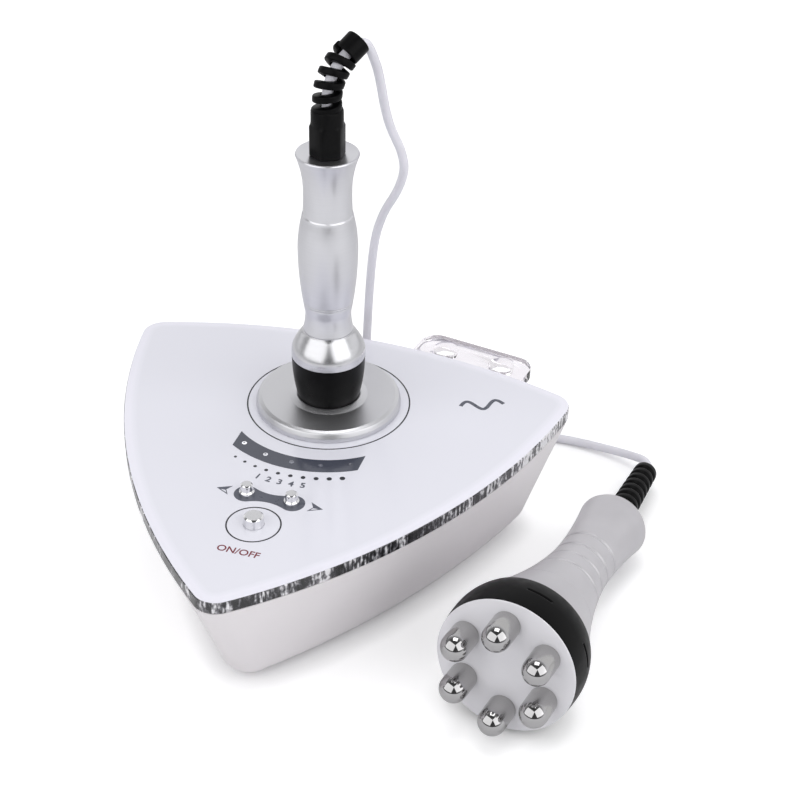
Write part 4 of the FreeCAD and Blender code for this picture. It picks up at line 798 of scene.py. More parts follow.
def console_outline(inset):
    """Three small corner arcs joined by three wide side arcs, all drawn in by inset."""
    loop = []
    for k in range(3):
        corner_way = math.radians(120 * k - 90)
        side_way = math.radians(120 * k - 30)
        corner = (CORNER_DISTANCE * math.cos(corner_way), CORNER_DISTANCE * math.sin(corner_way))
        side = (-SIDE_SHIFT * math.cos(side_way), -SIDE_SHIFT * math.sin(side_way))
        turn = 120 * k - 30
        loop += arc(*corner, CORNER_RADIUS - inset, turn - 120 + SIDE_SPREAD, turn - SIDE_SPREAD, 24)
        loop += arc(*side, SIDE_RADIUS - inset, turn - SIDE_SPREAD, turn + SIDE_SPREAD, 48)[1:-1]
    return loop


def lifted(loop, height):
    """A flat loop at a height."""
    return [(x, y, height) for x, y in loop]


def through_holes(low, high):
    """Straight holes for the wand's cup and the three buttons."""
    rings = [circle(0, HOLDER_STEP, CUP_HOLE), circle(*POWER_AT, POWER_FOOT + BUTTON_GAP)]
    rings += [circle(x, y, KEY_FOOT + BUTTON_GAP) for x, y in KEYS_AT]
    return [[lifted(ring, low), lifted(ring, high)] for ring in rings]


print("points on the console's outline:", len(console_outline(0)))

# %% [markdown]
# ## The slab and its edge
# The slab's side is a stack of four outlines, so its two rims are broken like a filed edge. The
# edge's finish paints glints, which are painted reflections. It multiplies three noises of different
# sizes, fine streaks, chips, and wide clusters that let the painted glints come in groups, and a ramp
# along X that paints the edge lighter towards the right corner, where white would show through it.

# %% The slab and its sawn edge
EDGE_BREAK = 0.35
slab_side = [
    lifted(console_outline(EDGE_BREAK), PLATE_LOW),
    lifted(console_outline(0), PLATE_LOW + EDGE_BREAK),
    lifted(console_outline(0), PANEL_LOW - EDGE_BREAK),
    lifted(console_outline(EDGE_BREAK), PANEL_LOW),
]
slab = plate("acrylic_slab", [slab_side] + through_holes(PLATE_LOW, PANEL_LOW), panel_place)
# Painted light: the edge's colour is a dark painted shade with painted glints, in place of the reflections
# and refraction of clear acrylic.
painted_glint_edge = new_finish("acrylic_edge_painted_glints", (40, 40, 44), 0.25, coat_weight=0.3, coat_roughness=0.12)
glint_streaks = add_noise(painted_glint_edge, 1.2, (1, 1, 0.16), 2.0)
glint_chips = add_noise(painted_glint_edge, 1.9, (1, 1, 0.8), 2.0)
glint_clusters = add_noise(painted_glint_edge, 9.0, (1, 1, 0.05), 1.0)
painted_glints = glint_streaks
for factor in (
    add_range(painted_glint_edge, glint_chips, 0.72, 1.28),
    add_range(painted_glint_edge, glint_clusters, 0.62, 1.3),
    # Painted light: the edge grows lighter towards the right corner, a painted stand-in for the white seen
    # through the clear plate there.
    add_fall(painted_glint_edge, "X", 88, 107, 1.0, 1.6),
):
    painted_glints = add_math(painted_glint_edge.node_tree, "MULTIPLY", painted_glints, factor)
painted_edge_colours = [
    (0.26, (16, 16, 18)), (0.42, (48, 48, 52)), (0.56, (112, 111, 116)), (0.74, (226, 225, 229)),
]
paint(painted_glint_edge, painted_glints, painted_edge_colours)
grain(painted_glint_edge, 0.8, 0.1, (1, 1, 0.1))
dress(slab, "console", "clear_acrylic", "clear_plate", finish=painted_glint_edge)

# %% [markdown]
# ## The clear tab
# The tab stands behind the panel at a slight angle. Its root follows the console's rear side, which
# is found by stepping down from each far corner until the side is met.

# %% The clear tab
TAB_TURN = math.radians(-9.9)
TAB_FAR = Vector((57.3, 98.7))
TAB_HALF = 30.0
TAB_CORNER = 9.0
TAB_HOLE = 6.2
HOLE_APART, HOLE_BACK = 15.5, 10.5
HOLE_EASE = ((0.7, 0.0), (0.2, 0.2), (0.0, 0.7))
TAB_ROUND = 0.4
TAB_GAP = 0.02
along_tab = Vector((math.cos(TAB_TURN), math.sin(TAB_TURN)))
across_tab = Vector((-along_tab.y, along_tab.x))


def rear_edge(x):
    """Height in Y of the console's rear side at x."""
    return math.sqrt(SIDE_RADIUS**2 - x**2) - SIDE_SHIFT


def tab_outline(inset):
    """The tab outside the console, with rounded far corners; its root follows the rear side."""
    half, corner = TAB_HALF - inset, TAB_CORNER - inset
    loop = []
    for side, start in ((1, 0), (-1, 90)):
        centre = TAB_FAR + along_tab * side * (half - corner) - across_tab * (inset + corner)
        turn = math.degrees(TAB_TURN)
        loop += arc(*centre, corner, turn + start, turn + start + 90, 16)
    ends = []
    for side in (-1, 1):
        foot = TAB_FAR + along_tab * side * half
        drop = 0.0
        while (foot - across_tab * drop).y > rear_edge((foot - across_tab * drop).x) + TAB_GAP:
            drop += TAB_GAP
        ends.append(foot - across_tab * drop)
    for k in range(25):
        x = ends[0].x + (ends[1].x - ends[0].x) * k / 24
        loop.append((x, rear_edge(x) + TAB_GAP))
    return loop


def rounded_stack(outline, low, high, ease, steps=5):
    """Loops of a plate whose two rims are rounded; outline takes the inset."""
    insets = [ease * (1 - math.sin(math.pi / 2 * k / steps)) for k in range(steps + 1)]
    rises = [ease * (1 - math.cos(math.pi / 2 * k / steps)) for k in range(steps + 1)]
    lower = [lifted(outline(inset), low + rise) for inset, rise in zip(insets, rises)]
    upper = [lifted(outline(inset), high - rise) for inset, rise in zip(insets[::-1], rises[::-1])]
    return lower + upper


tab_sides = [rounded_stack(tab_outline, PLATE_LOW, PANEL_LOW, TAB_ROUND)]
for side in (-1, 1):
    hole = TAB_FAR + along_tab * side * HOLE_APART - across_tab * HOLE_BACK
    rims = [(circle(*hole, TAB_HOLE + inset), rise) for inset, rise in HOLE_EASE]
    lower = [lifted(rim, PLATE_LOW + rise) for rim, rise in rims]
    tab_sides.append(lower + [lifted(rim, PANEL_LOW - rise) for rim, rise in rims[::-1]])
tab = plate("clear_tab", tab_sides, panel_place)
mottle(finishes["clear_acrylic"], ACRYLIC, 12, 2, 0.01)
dress(tab, "console", "clear_acrylic")

# %% [markdown]
# ## The printed panel
# The panel is a glossy white sheet whose rim falls away softly over the last few millimetres, and
# along that rim its colour is painted lighter, a painted highlight strip. It is a stack of outlines,
# each a little further in and higher, closed by a flat face with holes. The printing is laid on top
# as very thin solids, which stay crisp at any distance, where a painted texture would blur.

# %% The white sheet
PANEL_MARGIN = 0.3
RIM_WIDTH = 6.5
RIM_FALL = 0.5
panel_rows = [lifted(console_outline(PANEL_MARGIN), PANEL_LOW)]
for k in range(11):
    share = k / 10
    inset = PANEL_MARGIN + RIM_WIDTH * share
    panel_rows.append(lifted(console_outline(inset), -RIM_FALL * (1 - share) ** 2))
panel = plate("printed_panel", [panel_rows] + through_holes(PANEL_LOW, 0.0), panel_place)
gloss = finishes["panel_white"]
# Painted highlight: the base colour is lighter along the falling rim, a painted strip of light.
rim_highlight_share = add_fall(gloss, "Z", -RIM_FALL, 0, 0.0, 1.0)
rim_highlight_colours = [
    (0.0, (236, 235, 245)), (0.7, (235, 234, 244)), (0.96, (229, 229, 238)), (1.0, (226, 226, 235)),
]
paint(gloss, rim_highlight_share, rim_highlight_colours)
dress(panel, "console", "panel_white", "top_panel")

# %% Helpers for printing
INK = 0.05
LEVEL_WINDOW = 0.12
RING_LINE = 0.7
ink_dark = plain_finish("dark_print", (34, 35, 43), 0.3, 5, 2, 0.04, 0.6, 0.002)
ink_red = plain_finish("red_print", (116, 26, 42), 0.3, 5, 4, 0.04, 0.6, 0.002)


def panel_spot(x, y, height=0.0):
    """A placement on the panel."""
    return panel_place @ Matrix.Translation((x * MM, y * MM, height * MM))


def round_holder(radius, degrees):
    """A place on the panel round the holder's axis; 0 degrees lies in front of it."""
    turn = math.radians(degrees - 90)
    return radius * math.cos(turn), HOLDER_STEP + radius * math.sin(turn)


def printed_ring(name, x, y, radius, width):
    """A thin printed circle."""
    low, high = radius - width / 2, radius + width / 2
    profile = [(low, 0), (high, 0), (high, INK), (low, INK)]
    ring = turned(name, profile, panel_spot(x, y), 160, ring=True)
    dress(ring, "console", "window_slate", finish=ink_dark)


def printed(name, loops):
    """A flat print in slate ink."""
    dress(prism(name, loops, 0, INK, panel_place), "console", "window_slate")


# %% Rings and dots
HOLDER_RING = 39.0
POWER_RING, POWER_RING_Y = 11.95, -73.67
printed_ring("holder_ring_print", 0, HOLDER_STEP, HOLDER_RING, RING_LINE)
printed_ring("power_ring_print", 0, POWER_RING_Y, POWER_RING, RING_LINE)

DOT_RING, DOT_START, DOT_STEP = 61.7, -24.85, 5.53
DOT, DOT_GROWTH = 0.72, 0.062
dots = []
for k in range(10):
    dots.append(circle(*round_holder(DOT_RING, DOT_START + DOT_STEP * k), DOT + DOT_GROWTH * k, 24))
dress(prism("level_dots_print", dots, 0, INK, panel_place), "console", "window_slate", finish=ink_dark)

# %% The slate window
WINDOW_HALF = 30.6
WINDOW_INNER, WINDOW_OUTER = 47.6, 56.8
inner_turn = math.degrees(math.acos(WINDOW_HALF / WINDOW_INNER))
outer_turn = math.degrees(math.acos(WINDOW_HALF / WINDOW_OUTER))
window_loop = arc(0, HOLDER_STEP, WINDOW_INNER, 180 + inner_turn, 360 - inner_turn, 48)
window_loop += arc(0, HOLDER_STEP, WINDOW_OUTER, 360 - outer_turn, 180 + outer_turn, 48)
window = prism("level_window", [window_loop], 0, LEVEL_WINDOW, panel_place)
window_gloss = plain_finish("window_gloss", (70, 73, 85), 0.12, 8, 2, 0.02, 1.5, 0.001, coat_weight=0.2)
dress(window, "console", "window_slate", "led_window", finish=window_gloss)

# %% Key plate and arrows
LOBE_X, LOBE_Y, LOBE = 11.0, -54.3, 5.6
BONE_WAIST = 3.0
BONE_BEND = (LOBE_X**2 + BONE_WAIST**2 - LOBE**2) / (2 * (LOBE - BONE_WAIST))
lobe_turn = math.degrees(math.acos(LOBE_X / (LOBE + BONE_BEND)))
bend_shift = BONE_WAIST + BONE_BEND
bone = arc(LOBE_X, LOBE_Y, LOBE, -180 + lobe_turn, 180 - lobe_turn, 40)
bone += arc(0, LOBE_Y + bend_shift, BONE_BEND, -lobe_turn, -180 + lobe_turn, 24)[1:-1]
bone += arc(-LOBE_X, LOBE_Y, LOBE, lobe_turn, 360 - lobe_turn, 40)
bone += arc(0, LOBE_Y - bend_shift, BONE_BEND, 180 - lobe_turn, lobe_turn, 24)[1:-1]
printed("key_plate_print", [bone])

ARROW = [(25.2, -54.2), (18.7, -50.9), (20.6, -54.2), (18.7, -57.5)]
ARROW_NOTCH = [(23.4, -54.6), (20.8, -54.6), (19.8, -56.4)]
heads = []
for side in (-1, 1):
    heads += [[(side * x, y) for x, y in loop] for loop in (ARROW, ARROW_NOTCH)]
printed("arrow_prints", heads)

# %% Wave mark
WAVE_AT = Vector((71.0, 47.0))
WAVE_TURN = math.radians(24)
WAVE_LENGTH = 21.0
WAVE_HEIGHT = 3.4
WAVE_SWEEP = 3 * math.pi
WAVE_WIDTH = 1.9
WAVE_STEPS = 60
wave = []
for side, order in ((1, range(WAVE_STEPS + 1)), (-1, range(WAVE_STEPS, -1, -1))):
    for k in order:
        phase = WAVE_SWEEP * k / WAVE_STEPS
        slope = math.atan(WAVE_HEIGHT * WAVE_SWEEP / WAVE_LENGTH * math.cos(phase))
        x = WAVE_LENGTH * (k / WAVE_STEPS - 0.5) - side * WAVE_WIDTH / 2 * math.sin(slope)
        y = WAVE_HEIGHT * math.sin(phase) + side * WAVE_WIDTH / 2 * math.cos(slope)
        wave.append(WAVE_AT + Matrix.Rotation(WAVE_TURN, 2) @ Vector((x, y)))
printed("wave_mark_print", [wave])

# %% [markdown]
# ## Lettering
# Numbers and the switch's words are text curves turned into thin meshes. A font's size is that of
# its whole line, so the height of a capital is divided by its share of it, and the offset makes
# the strokes bolder.

# %% Numbers and the switch's words
CAPITAL_SHARE = 0.7
NUMBER_RING, NUMBER_STEP = 67.6, 4.6
NUMBER_HEIGHT, NUMBER_BOLD = 3.5, 0.14
WORDS_AT, WORDS_HEIGHT, WORDS_BOLD = (0.5, -93.0), 3.75, 0.07


def lettering(name, words, height, bold, place, finish):
    """Plain words as a thin solid, centred on place; bold widens each stroke."""
    text = bpy.data.curves.new(name, "FONT")
    text.body = words
    text.align_x = "CENTER"
    text.align_y = "CENTER"
    text.size = height / CAPITAL_SHARE * MM
    text.offset = bold * MM
    text.extrude = INK / 2 * MM
    text.resolution_u = 4
    piece = new_object(name, mesh_of(text))
    piece.matrix_world = place
    return dress(piece, "console", "window_slate", finish=finish)


for number in range(1, 6):
    degrees = (number - 3) * NUMBER_STEP
    spot = panel_spot(*round_holder(NUMBER_RING, degrees), INK / 2)
    spot = spot @ Matrix.Rotation(math.radians(degrees), 4, "Z")
    name = "level_number_%d" % number
    lettering(name, str(number), NUMBER_HEIGHT, NUMBER_BOLD, spot, finishes["window_slate"])
words_spot = panel_spot(*WORDS_AT, INK / 2)
lettering("switch_words", "ON/OFF", WORDS_HEIGHT, WORDS_BOLD, words_spot, ink_red)

# %% [markdown]
# ## The level lamps
# Five small lamps sit in the slate window. The first ones glow white, the others are dark lenses,
# so each is a low dome with its own brightness. Its eye takes a second finish: every face of a
# mesh holds the number of its material, and a short test picks the faces.

# %% Lamp domes
LAMP_RING, LAMP_START, LAMP_STEP = 51.8, -30, 15
lamp_looks = [
    ("lit", (236, 236, 240), 0.5), ("lit_less", (206, 207, 213), 0.3), ("faint", (132, 134, 144), 0.0),
    ("dim", (88, 91, 103), 0.0), ("dark", (70, 72, 83), 0.0),
]
LAMP_EYE = 0.4
lamp_eye = plain_finish("lamp_eye", (120, 121, 130), 0.2, 1.0, 8, 0.05, 0.5, 0.004)


def second_finish(piece, finish, chosen):
    """Gives the faces for which chosen is true a finish of their own."""
    piece.data.materials.append(finish)
    for face in piece.data.polygons:
        face.material_index = 1 if chosen(face) else 0


dome = eased([(0, 0.1), (1.15, 0.1), (1.15, 0.22, 0.08), (0.75, 0.36), (0.5, 0.38), (0, 0.38)])
for k, (word, colour, light) in enumerate(lamp_looks):
    spot = panel_spot(*round_holder(LAMP_RING, LAMP_START + LAMP_STEP * k))
    look = plain_finish("lamp_" + word, colour, 0.2, 1.2, 8, 0.05, 0.5, 0.004, emission_strength=light)
    look.node_tree.nodes["Principled BSDF"].inputs["Emission Color"].default_value = screen(colour)
    lamp = turned("level_lamp_%d" % (k + 1), dome, spot, 48)
    dress(lamp, "console", "lamp_clear", finish=look)
    second_finish(lamp, lamp_eye, lambda face: face.center.xy.length < LAMP_EYE * MM)

# %% [markdown]
# ## The buttons
# Three chromed buttons poke through the panel: one wide power button and two slim keys with a
# flared foot. Their sides are mirrors and their tops are brushed, so each turned piece carries
# two finishes and the faces choose by their direction.

# %% Chrome buttons
brushed_top = plain_finish("brushed_top", (214, 214, 216), 0.16, 1.0, 5, 0.05, 0.25, 0.003, (6, 0.3, 1),
                           metallic=1.0)
bright_chrome = plain_finish("bright_chrome", (228, 228, 230), 0.05, 4, 3, 0.02, 2.0, 0.0004, metallic=1.0)
FLANGE_TOP = PLATE_LOW - 0.03
STEM_END = FLANGE_TOP - 4.6
STEM, FLANGE_EDGE, FLANGE_THICK = 1.5, 1.2, 1.0
TOP_FROM = 2.0


def shiny_button(name, x, y, foot, upper):
    """A turned button: stem and flange under the plate, then the shape above the panel."""
    flange, flange_low = foot + FLANGE_EDGE, FLANGE_TOP - FLANGE_THICK
    profile = [(0, STEM_END), (STEM, STEM_END), (STEM, flange_low), (flange, flange_low)]
    profile += [(flange, FLANGE_TOP), (foot, FLANGE_TOP)] + upper
    button = turned(name + "_cap", eased(profile), panel_spot(x, y), 96)
    dress(button, name, "chrome", name, finish=bright_chrome)
    second_finish(button, brushed_top, lambda face: face.normal.z > 0.9 and face.center.z > TOP_FROM * MM)


power_shape = [(POWER_FOOT, 0.6, 0.4), (4.45, 1.2), (4.45, 4.3, 0.1), (3.65, 4.93, 0.1), (0, 4.85)]
key_shape = [(KEY_FOOT, 1.9, 0.3), (2.75, 2.7, 0.4), (2.7, 5.45, 0.1), (2.15, 5.88, 0.08), (0, 5.85)]
shiny_button("power_button", *POWER_AT, POWER_FOOT, power_shape)
for name, spot in zip(("minus_button", "plus_button"), KEYS_AT):
    shiny_button(name, *spot, KEY_FOOT, key_shape)

# %% [markdown]
# ## The holder disc
# The wand stands in a spun aluminium disc: a low lip round the cup, a flat field and a bevelled
# rim. Tool marks run round its axis, which the finish shows as fine rings.

# %% Disc
disc_profile = eased([
    (0, -5.0), (15.0, -5.0), (15.0, 6.05, 0.12), (15.6, 6.05, 0.3), (18.7, 5.12, 1.2), (32.0, 5.4, 0.35),
    (33.7, 4.7, 1.2), (34.7, 2.4, 1.4), (34.7, 0.5, 0.3), (34.3, 0.0), (17.6, 0.0), (17.6, -12.5), (0, -12.5),
])
dress(turned("holder_dish", disc_profile, wand_place, 160), "console", "spun_aluminium", "holder_disc")

# %% [markdown]
# ## The wand
# The wand is turned from aluminium: tip, black collar, a polished shoulder, a swelling handle and
# a flange. Each stretch of its profile is an arc that stands upright at one end, so a parabola
# from that end gives the same line with a few points.

# %% Wand levels and helpers
TIP_LOW = -4.95
COLLAR_FOOT = 5.6
COLLAR_LOW = 6.3
COLLAR_HIGH = 27.7
SHOULDER_LIP = 29.9
SHOULDER_HIGH = 42.4
WAIST = (10.7, 51.5)
BULGE = (13.8, 84.5)
CREASE = (11.7, 102.3)
THROAT = (10.97, 113.7)
FLANGE = (14.3, 132.5)
ROD = 6.0
TURNED_LINES = [57.0, 58.2]
LINE_CUT, LINE_WIDTH = 0.2, 0.3
NEAR_MARK, FINE_STEP, WIDE_STEP = 1.2, 0.15, 1.0
print("wand's flange above the panel (mm):", FLANGE[1])


def swept(upright, end, steps=14):
    """Points from an upright end of a bend to its other end."""
    (r0, z0), (r1, z1) = upright, end
    return [(r0 + (r1 - r0) * (k / steps) ** 2, z0 + (z1 - z0) * k / steps) for k in range(steps + 1)]


def levels(low, high, marks):
    """Heights from low to high, close together near the marks."""
    found = [low]
    while found[-1] < high:
        close = min(abs(found[-1] - mark) for mark in marks) < NEAR_MARK
        found.append(min(found[-1] + (FINE_STEP if close else WIDE_STEP), high))
    return found


def groove_depth(level, marks, depth, width):
    """How deep turned grooves at the marks cut in at a level."""
    return sum(depth * math.exp(-(((level - mark) / width) ** 2)) for mark in marks)


# %% Tip and collar
tip_profile = [(0, TIP_LOW - 0.03), (12.4, TIP_LOW, 1.2), (14.4, TIP_LOW + 2.0, 1.5)]
tip_profile += [(14.4, COLLAR_FOOT), (0, COLLAR_FOOT)]
dress(turned("wand_tip_disc", eased(tip_profile), wand_place), "wand", "satin_aluminium", "wand_tip")

collar_profile = [(ROD, COLLAR_FOOT), (14.7, COLLAR_FOOT), (14.93, COLLAR_FOOT + 0.3)]
collar_profile += swept((17.4, COLLAR_HIGH - 0.3), (14.93, COLLAR_LOW))[::-1]
collar_profile += [(17.1, COLLAR_HIGH), (ROD, COLLAR_HIGH)]
dress(turned("wand_collar_ring", collar_profile, wand_place), "wand", "black_plastic", "wand_collar")

# %% Shoulder
shoulder_profile = [(ROD, COLLAR_HIGH), (17.2, COLLAR_HIGH), (17.5, COLLAR_HIGH + 0.3)]
cone_line = [(17.5, SHOULDER_LIP), (17.35, 31.6), (16.75, 33.6), (15.5, 36.2), (13.7, 39.1), (12.3, 41.1)]
cone_line.append((11.75, 42.3))
shoulder_profile += flowing(cone_line, 5) + [(11.4, SHOULDER_HIGH), (ROD, SHOULDER_HIGH)]
polished_cone = plain_finish("polished_cone", (212, 212, 215), 0.26, 4, 2, 0.01, 0.4, 0.0006,
                             ROUND_LINES, metallic=1.0)
shoulder = turned("wand_shoulder_cone", shoulder_profile, wand_place)
dress(shoulder, "wand", "satin_aluminium", "wand_shoulder", finish=polished_cone)

# %% Handle
handle_profile = [(ROD, SHOULDER_HIGH), (11.4, SHOULDER_HIGH), (11.7, SHOULDER_HIGH + 0.3)]
handle_profile += swept(WAIST, (11.65, SHOULDER_HIGH + 0.5), 10)[::-1]
for level in levels(WAIST[1], BULGE[1], TURNED_LINES)[1:]:
    share = (BULGE[1] - level) / (BULGE[1] - WAIST[1])
    radius = BULGE[0] + (WAIST[0] - BULGE[0]) * share**2
    handle_profile.append((radius - groove_depth(level, TURNED_LINES, LINE_CUT, LINE_WIDTH), level))
handle_profile += swept(BULGE, (CREASE[0] + 0.05, CREASE[1] - 0.6))[1:]
handle_profile += [CREASE, (CREASE[0] - 0.42, CREASE[1] + 0.65)]
handle_profile += swept(THROAT, (11.27, CREASE[1] + 0.75), 8)[::-1]
handle_profile += swept(THROAT, (14.2, FLANGE[1] - 0.9))[1:]
handle_profile += [(FLANGE[0] - inward, FLANGE[1] - drop) for inward, drop in (
    (0, 0.55), (0.2, 0.1), (0.7, -0.05), (1.4, 0.1), (6.3, 0.8))]
handle_profile.append((ROD, FLANGE[1] - 0.8))
dress(turned("wand_grip", handle_profile, wand_place, crease=22), "wand", "satin_aluminium", "wand_handle")

# %% [markdown]
# ## Gland and bend guard
# A black hexagonal gland closes the wand. Out of it grows a spiral guard, a flat rubber band wound
# round the cord, which bends over and ends in a cap. The band is one section carried along a
# helix on the bent line, so the white cord shows between its turns.

# %% Gland
GLAND_LOW = 131.6
HEX_HIGH = 145.5
GLAND_HIGH = 153.6
GUARD_LOW = 155.7
HEX_CORNER = 8.25
HEX_FLAT = 7.35


def hex_loop(size, roundness, height, steps=96):
    """A hexagon with eased corners that can turn into a circle."""
    loop = []
    for k in range(steps):
        turn = 2 * math.pi * k / steps
        off = (turn + math.pi / 6) % (math.pi / 3) - math.pi / 6
        flat = min(HEX_FLAT / math.cos(off), HEX_CORNER)
        reach = (flat + (HEX_FLAT - flat) * roundness) * size
        loop.append((reach * math.cos(turn), reach * math.sin(turn), height))
    return loop


gland_rows = [
    hex_loop(0.95, 0.2, GLAND_LOW), hex_loop(1.0, 0.2, GLAND_LOW + 0.6), hex_loop(1.0, 0.2, HEX_HIGH),
    hex_loop(0.995, 0.6, HEX_HIGH + 0.8), hex_loop(0.99, 1, HEX_HIGH + 1.5),
    hex_loop(0.985, 1, GLAND_HIGH - 1.2), hex_loop(0.95, 1, GLAND_HIGH - 0.4), hex_loop(0.88, 1, GLAND_HIGH),
    hex_loop(0.75, 1, GLAND_HIGH - 0.4), hex_loop(0.72, 1, GLAND_HIGH - 2.6),
]
dress(plate("gland_nut", [gland_rows], wand_place, 30), "wand", "black_plastic", "gland_body")

# %% The guard's bent line
GUARD_TURN = math.radians(54.8)
GUARD_STRAIGHT = 1.5
GUARD_BEND = 22.1
GUARD_LENGTH = GUARD_STRAIGHT + GUARD_BEND * math.radians(56.4)
BAND_IN, BAND_OUT, BAND_HALF = 3.2, 6.55, 1.9
BAND_PITCH = 5.37
BAND_FRONT = 3.6
BAND_FRONT_TURN = math.radians(231.6)
BAND_START, BAND_PAST = -4.6, 0.6
BAND_STEPS = 260
over = Vector((math.cos(GUARD_TURN), math.sin(GUARD_TURN), 0))
upright = Vector((0, 0, 1))
beside = upright.cross(over)


def guard_line(run):
    """Point and direction on the guard's bent centre line."""
    turn = min(max(run - GUARD_STRAIGHT, 0), GUARD_LENGTH - GUARD_STRAIGHT) / GUARD_BEND
    past = max(run - GUARD_LENGTH, 0)
    straight = min(run, GUARD_STRAIGHT)
    way = over * math.sin(turn) + upright * math.cos(turn)
    rise = GUARD_LOW + straight + GUARD_BEND * math.sin(turn)
    return over * GUARD_BEND * (1 - math.cos(turn)) + upright * rise + way * past, way


# %% The guard's band
section = eased([
    (BAND_IN, 0), (BAND_IN, BAND_HALF, 0.4), (BAND_OUT, BAND_HALF * 0.8, 0.7),
    (BAND_OUT, -BAND_HALF * 0.8, 0.7), (BAND_IN, -BAND_HALF, 0.4), (BAND_IN, -0.1),
], 3)
builder = bmesh.new()
rows = []
for k in range(BAND_STEPS + 1):
    run = BAND_START + (GUARD_LENGTH + BAND_PAST - BAND_START) * k / BAND_STEPS
    turn = BAND_FRONT_TURN + 2 * math.pi * (run - BAND_FRONT) / BAND_PITCH
    point, way = guard_line(run)
    inward = beside.cross(way)
    out = inward * math.cos(turn) + beside * math.sin(turn)
    rows.append([builder.verts.new(point + out * reach + way * rise) for reach, rise in section])
skin_rows(builder, rows)
builder.faces.new(rows[0])
builder.faces.new(rows[-1])
guard = piece_from("guard_band", builder, wand_place, 40)
dress(guard, "wand", "black_rubber", "spiral_guard")

# %% Cord inside the guard, and cap
INNER_LOW, INNER_PAST, INNER_STEPS = -2.5, 2.0, 40
inner_span = GUARD_LENGTH + INNER_PAST - INNER_LOW
inner_path = [guard_line(INNER_LOW + inner_span * k / INNER_STEPS)[0] for k in range(INNER_STEPS + 1)]
inner_cord = tube("guard_inner_cord", inner_path, CORD / 2 + 0.25)
inner_cord.matrix_world = wand_place
dress(inner_cord, "wand", "cord_white", "guard_cord")

cap_point, cap_way = guard_line(GUARD_LENGTH)
cap_across = upright.cross(cap_way).normalized()
cap_place = wand_place @ axes_matrix(cap_across, cap_way.cross(cap_across), cap_way, cap_point * MM)
cap_profile = eased([
    (0, 2.0), (4.0, 2.0), (4.2, 0.0, 0.3), (5.5, 0.0, 0.3), (5.85, 0.5, 0.3), (5.85, 8.8, 0.9),
    (4.7, 8.8, 0.2), (4.6, 7.0), (0, 7.0),
])
dress(turned("guard_end_cap", cap_profile, cap_place, 96), "wand", "black_rubber", "guard_cap")

# %% [markdown]
# ## The handpiece
# The handpiece lies on its rubber bumper and its tail. Its axis points away from the viewer and a
# little down. All its pieces are turned round that axis, so they share one placement.

# %% Handpiece placement
FACE_MIDDLE = Vector((95.5, -70.5, 34.05)) * MM
HAND_HEADING = math.radians(80.3)
HAND_TILT = math.radians(7.252)
hand_flat = Vector((math.cos(HAND_HEADING), math.sin(HAND_HEADING), 0))
hand_way = hand_flat * math.cos(HAND_TILT) - Vector((0, 0, math.sin(HAND_TILT)))
hand_side = Vector((-hand_way.y, hand_way.x, 0)).normalized()
hand_place = axes_matrix(hand_side, hand_way.cross(hand_side), hand_way, FACE_MIDDLE)
print("handpiece axis:", [round(value, 4) for value in hand_way])

# %% [markdown]
# ## Face and bumper
# The face is a shallow white disc in a rubber tyre. The tyre has four short slots: after it is
# turned, the vertices that lie inside a slot's rounded outline are pulled towards the axis, which is
# quicker than cutting and keeps the mesh closed.

# %% Face and bumper
face_profile = eased([
    (0, -0.2), (16, -0.15), (28, 0.0), (32.25, 0.15, 0.12), (32.35, 0.3, 0.05), (32.35, 0.75), (30.0, 0.8),
    (30.0, 8.0), (0, 8.0),
])
dress(turned("face_disc", face_profile, hand_place, 160), "handpiece", "face_white", "face_plate")

bumper_profile = [(30.1, 8.1), (30.1, 0.8), (32.0, 0.8), (32.25, 0.9)]
bumper_profile += swept((32.9, 11.2), (32.35, 1.1), 24)[::-1] + swept((32.9, 11.2), (30.2, 24.1), 48)[1:]
bumper_profile += [(30.0, 24.35), (29.6, 24.5), (28.1, 24.5), (28.1, 8.1)]
bumper = turned("bumper_tyre", bumper_profile, hand_place, 360, ring=True)
SLOT_TURNS = [102.6, 162.6, 282.6, 342.6]
SLOT_STATION = 13.3
SLOT_REACH = 5.2
SLOT_HALF = 0.75
SLOT_FLANK = 0.35
SLOT_DEPTH = 0.8
for vertex in bumper.data.vertices:
    radius, station = vertex.co.xy.length / MM, vertex.co.z / MM
    turn = math.degrees(math.atan2(vertex.co.y, vertex.co.x))
    for slot_turn in SLOT_TURNS:
        off = math.radians((turn - slot_turn + 180) % 360 - 180) * radius
        away = math.hypot(max(abs(off) - SLOT_REACH, 0), station - SLOT_STATION)
        dent = SLOT_DEPTH * min(max((SLOT_HALF - away) / SLOT_FLANK, 0), 1)
        vertex.co.xy *= 1 - dent / radius
dress(bumper, "handpiece", "black_rubber", "bumper_ring")

# %% [markdown]
# ## Grip, relief and poles
# The grip's radius is a formula of its station along the axis, less the depth of four ring grooves
# and a seam. Stations lie close together near these and far apart elsewhere. The relief's ribs come
# from a cosine raised to the third power, which leaves wide ribs and narrow gaps. Each pole is a
# satin pin with a mirror dome.

# %% Grip with its ring grooves
GRIP_WAIST = (14.4, 94.0)
GRIP_START = (29.2, 24.5)
GRIP_TAIL = (17.4, 133.0)
GROOVES = [66.4 + 10.5 * k for k in range(4)]
GROOVE_CUT, GROOVE_WIDTH = 0.75, 0.45
SEAM_CUT, SEAM_WIDTH = 0.2, 0.35
GRIP_WALL = 1.6
FLARE_BEND, SWELL_BEND = 1.75, 2.0
SEAM = [46.25]


def grip_radius(station):
    """Radius of the grip without its grooves: a wide flare to the waist, then a small swell."""
    far, bend = (GRIP_START, FLARE_BEND) if station < GRIP_WAIST[1] else (GRIP_TAIL, SWELL_BEND)
    share = (station - GRIP_WAIST[1]) / (far[1] - GRIP_WAIST[1])
    return GRIP_WAIST[0] + (far[0] - GRIP_WAIST[0]) * share**bend


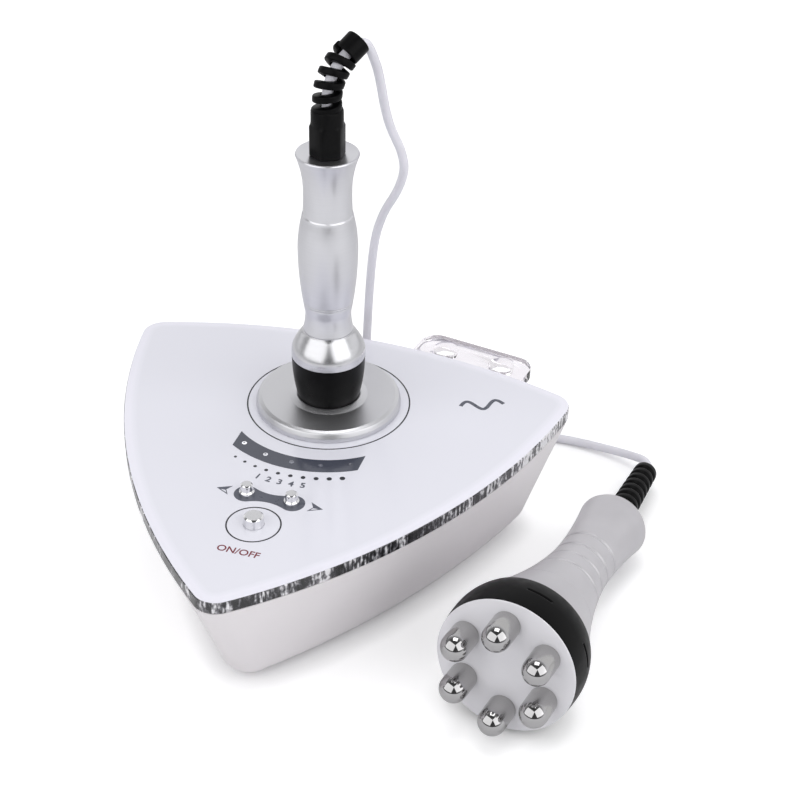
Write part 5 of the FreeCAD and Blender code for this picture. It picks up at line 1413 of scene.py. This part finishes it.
def grip_skin(station):
    """Radius of the grip's skin with its ring grooves and its seam."""
    groove = groove_depth(station, GROOVES, GROOVE_CUT, GROOVE_WIDTH)
    return grip_radius(station) - groove - groove_depth(station, SEAM, SEAM_CUT, SEAM_WIDTH)


stations = levels(GRIP_START[1], GRIP_TAIL[1], GROOVES + SEAM)
grip_profile = [(27.5, 24.5)] + [(grip_skin(station), station) for station in stations]
grip_profile += flowing([GRIP_TAIL, (16.0, 136.0), (13.99, 138.4), (11.2, 140.15), (8.15, 141.0)], 6)[1:]
grip_profile.append((8.15, 138.0))
grip_profile += [(grip_radius(station) - GRIP_WALL, station) for station in range(132, 25, -10)]
grip = turned("grip_body", grip_profile, hand_place, 144, ring=True, crease=40)
dress(grip, "handpiece", "grip_silver", "grip_shell")

# %% Strain relief
RELIEF_PIVOT = 136.1
RELIEF_LEAN = math.radians(3.5)
RELIEF_END = 58.0
RELIEF_BASE = 7.45
RELIEF_TIP = 6.05
RIBS = 7
RIB_STEPS = 14
RIB_START = 12.0
RIB_END = RELIEF_END - 3.0
RIB_DEPTH = 1.25
relief_place = hand_place @ Matrix.Translation((0, 0, RELIEF_PIVOT * MM))
relief_place = relief_place @ Matrix.Rotation(RELIEF_LEAN, 4, "Y")
relief_profile = [(0, -3.9), (9.5, -3.9), (9.5, 0.2), (RELIEF_BASE, 0.2)]
for k in range(RIBS * RIB_STEPS + 1):
    level = RIB_START + (RIB_END - RIB_START) * k / (RIBS * RIB_STEPS)
    ripple = 0.5 - 0.5 * math.cos(2 * math.pi * k / RIB_STEPS)
    radius = RELIEF_BASE + (RELIEF_TIP - RELIEF_BASE) * level / RELIEF_END
    relief_profile.append((radius - RIB_DEPTH * ripple**3, level))
relief_profile += eased([
    (RELIEF_TIP, RIB_END + 0.3), (RELIEF_TIP, RELIEF_END, 1.3), (2.5, RELIEF_END, 0.2), (2.5, 52.0),
    (0, 52.0),
])
dress(turned("ribbed_relief", relief_profile, relief_place, 72), "handpiece", "black_rubber", "strain_relief")

# %% Poles
POLE = 6.45
POLE_CIRCLE = 21.6
POLE_REACH = 11.25
POLE_PHASE = 26.3
satin_side = plain_finish("satin_pole", (182, 181, 180), 0.19, 3, 1, 0.01, 0.3, 0.0002, ROUND_LINES,
                          metallic=1.0)
quarter = [math.pi / 2 * k / 20 for k in range(21)]
pole_profile = [(POLE * math.sin(a), -POLE_REACH - POLE * math.cos(a)) for a in quarter]
pole_profile += [(POLE, -0.9), (6.2, -0.7), (6.2, 0.0), (2.0, 0.0), (2.0, 12.5), (0, 12.5)]
for k in range(6):
    turn = math.radians(POLE_PHASE + 60 * k)
    step = Vector((math.cos(turn), math.sin(turn), 0)) * POLE_CIRCLE * MM
    pole = turned("pole_pin_%d" % (k + 1), pole_profile, hand_place @ Matrix.Translation(step), 96)
    dress(pole, "handpiece", "chrome", "pole_%d" % (k + 1))
    second_finish(pole, satin_side, lambda face: face.center.z > -POLE_REACH * MM)
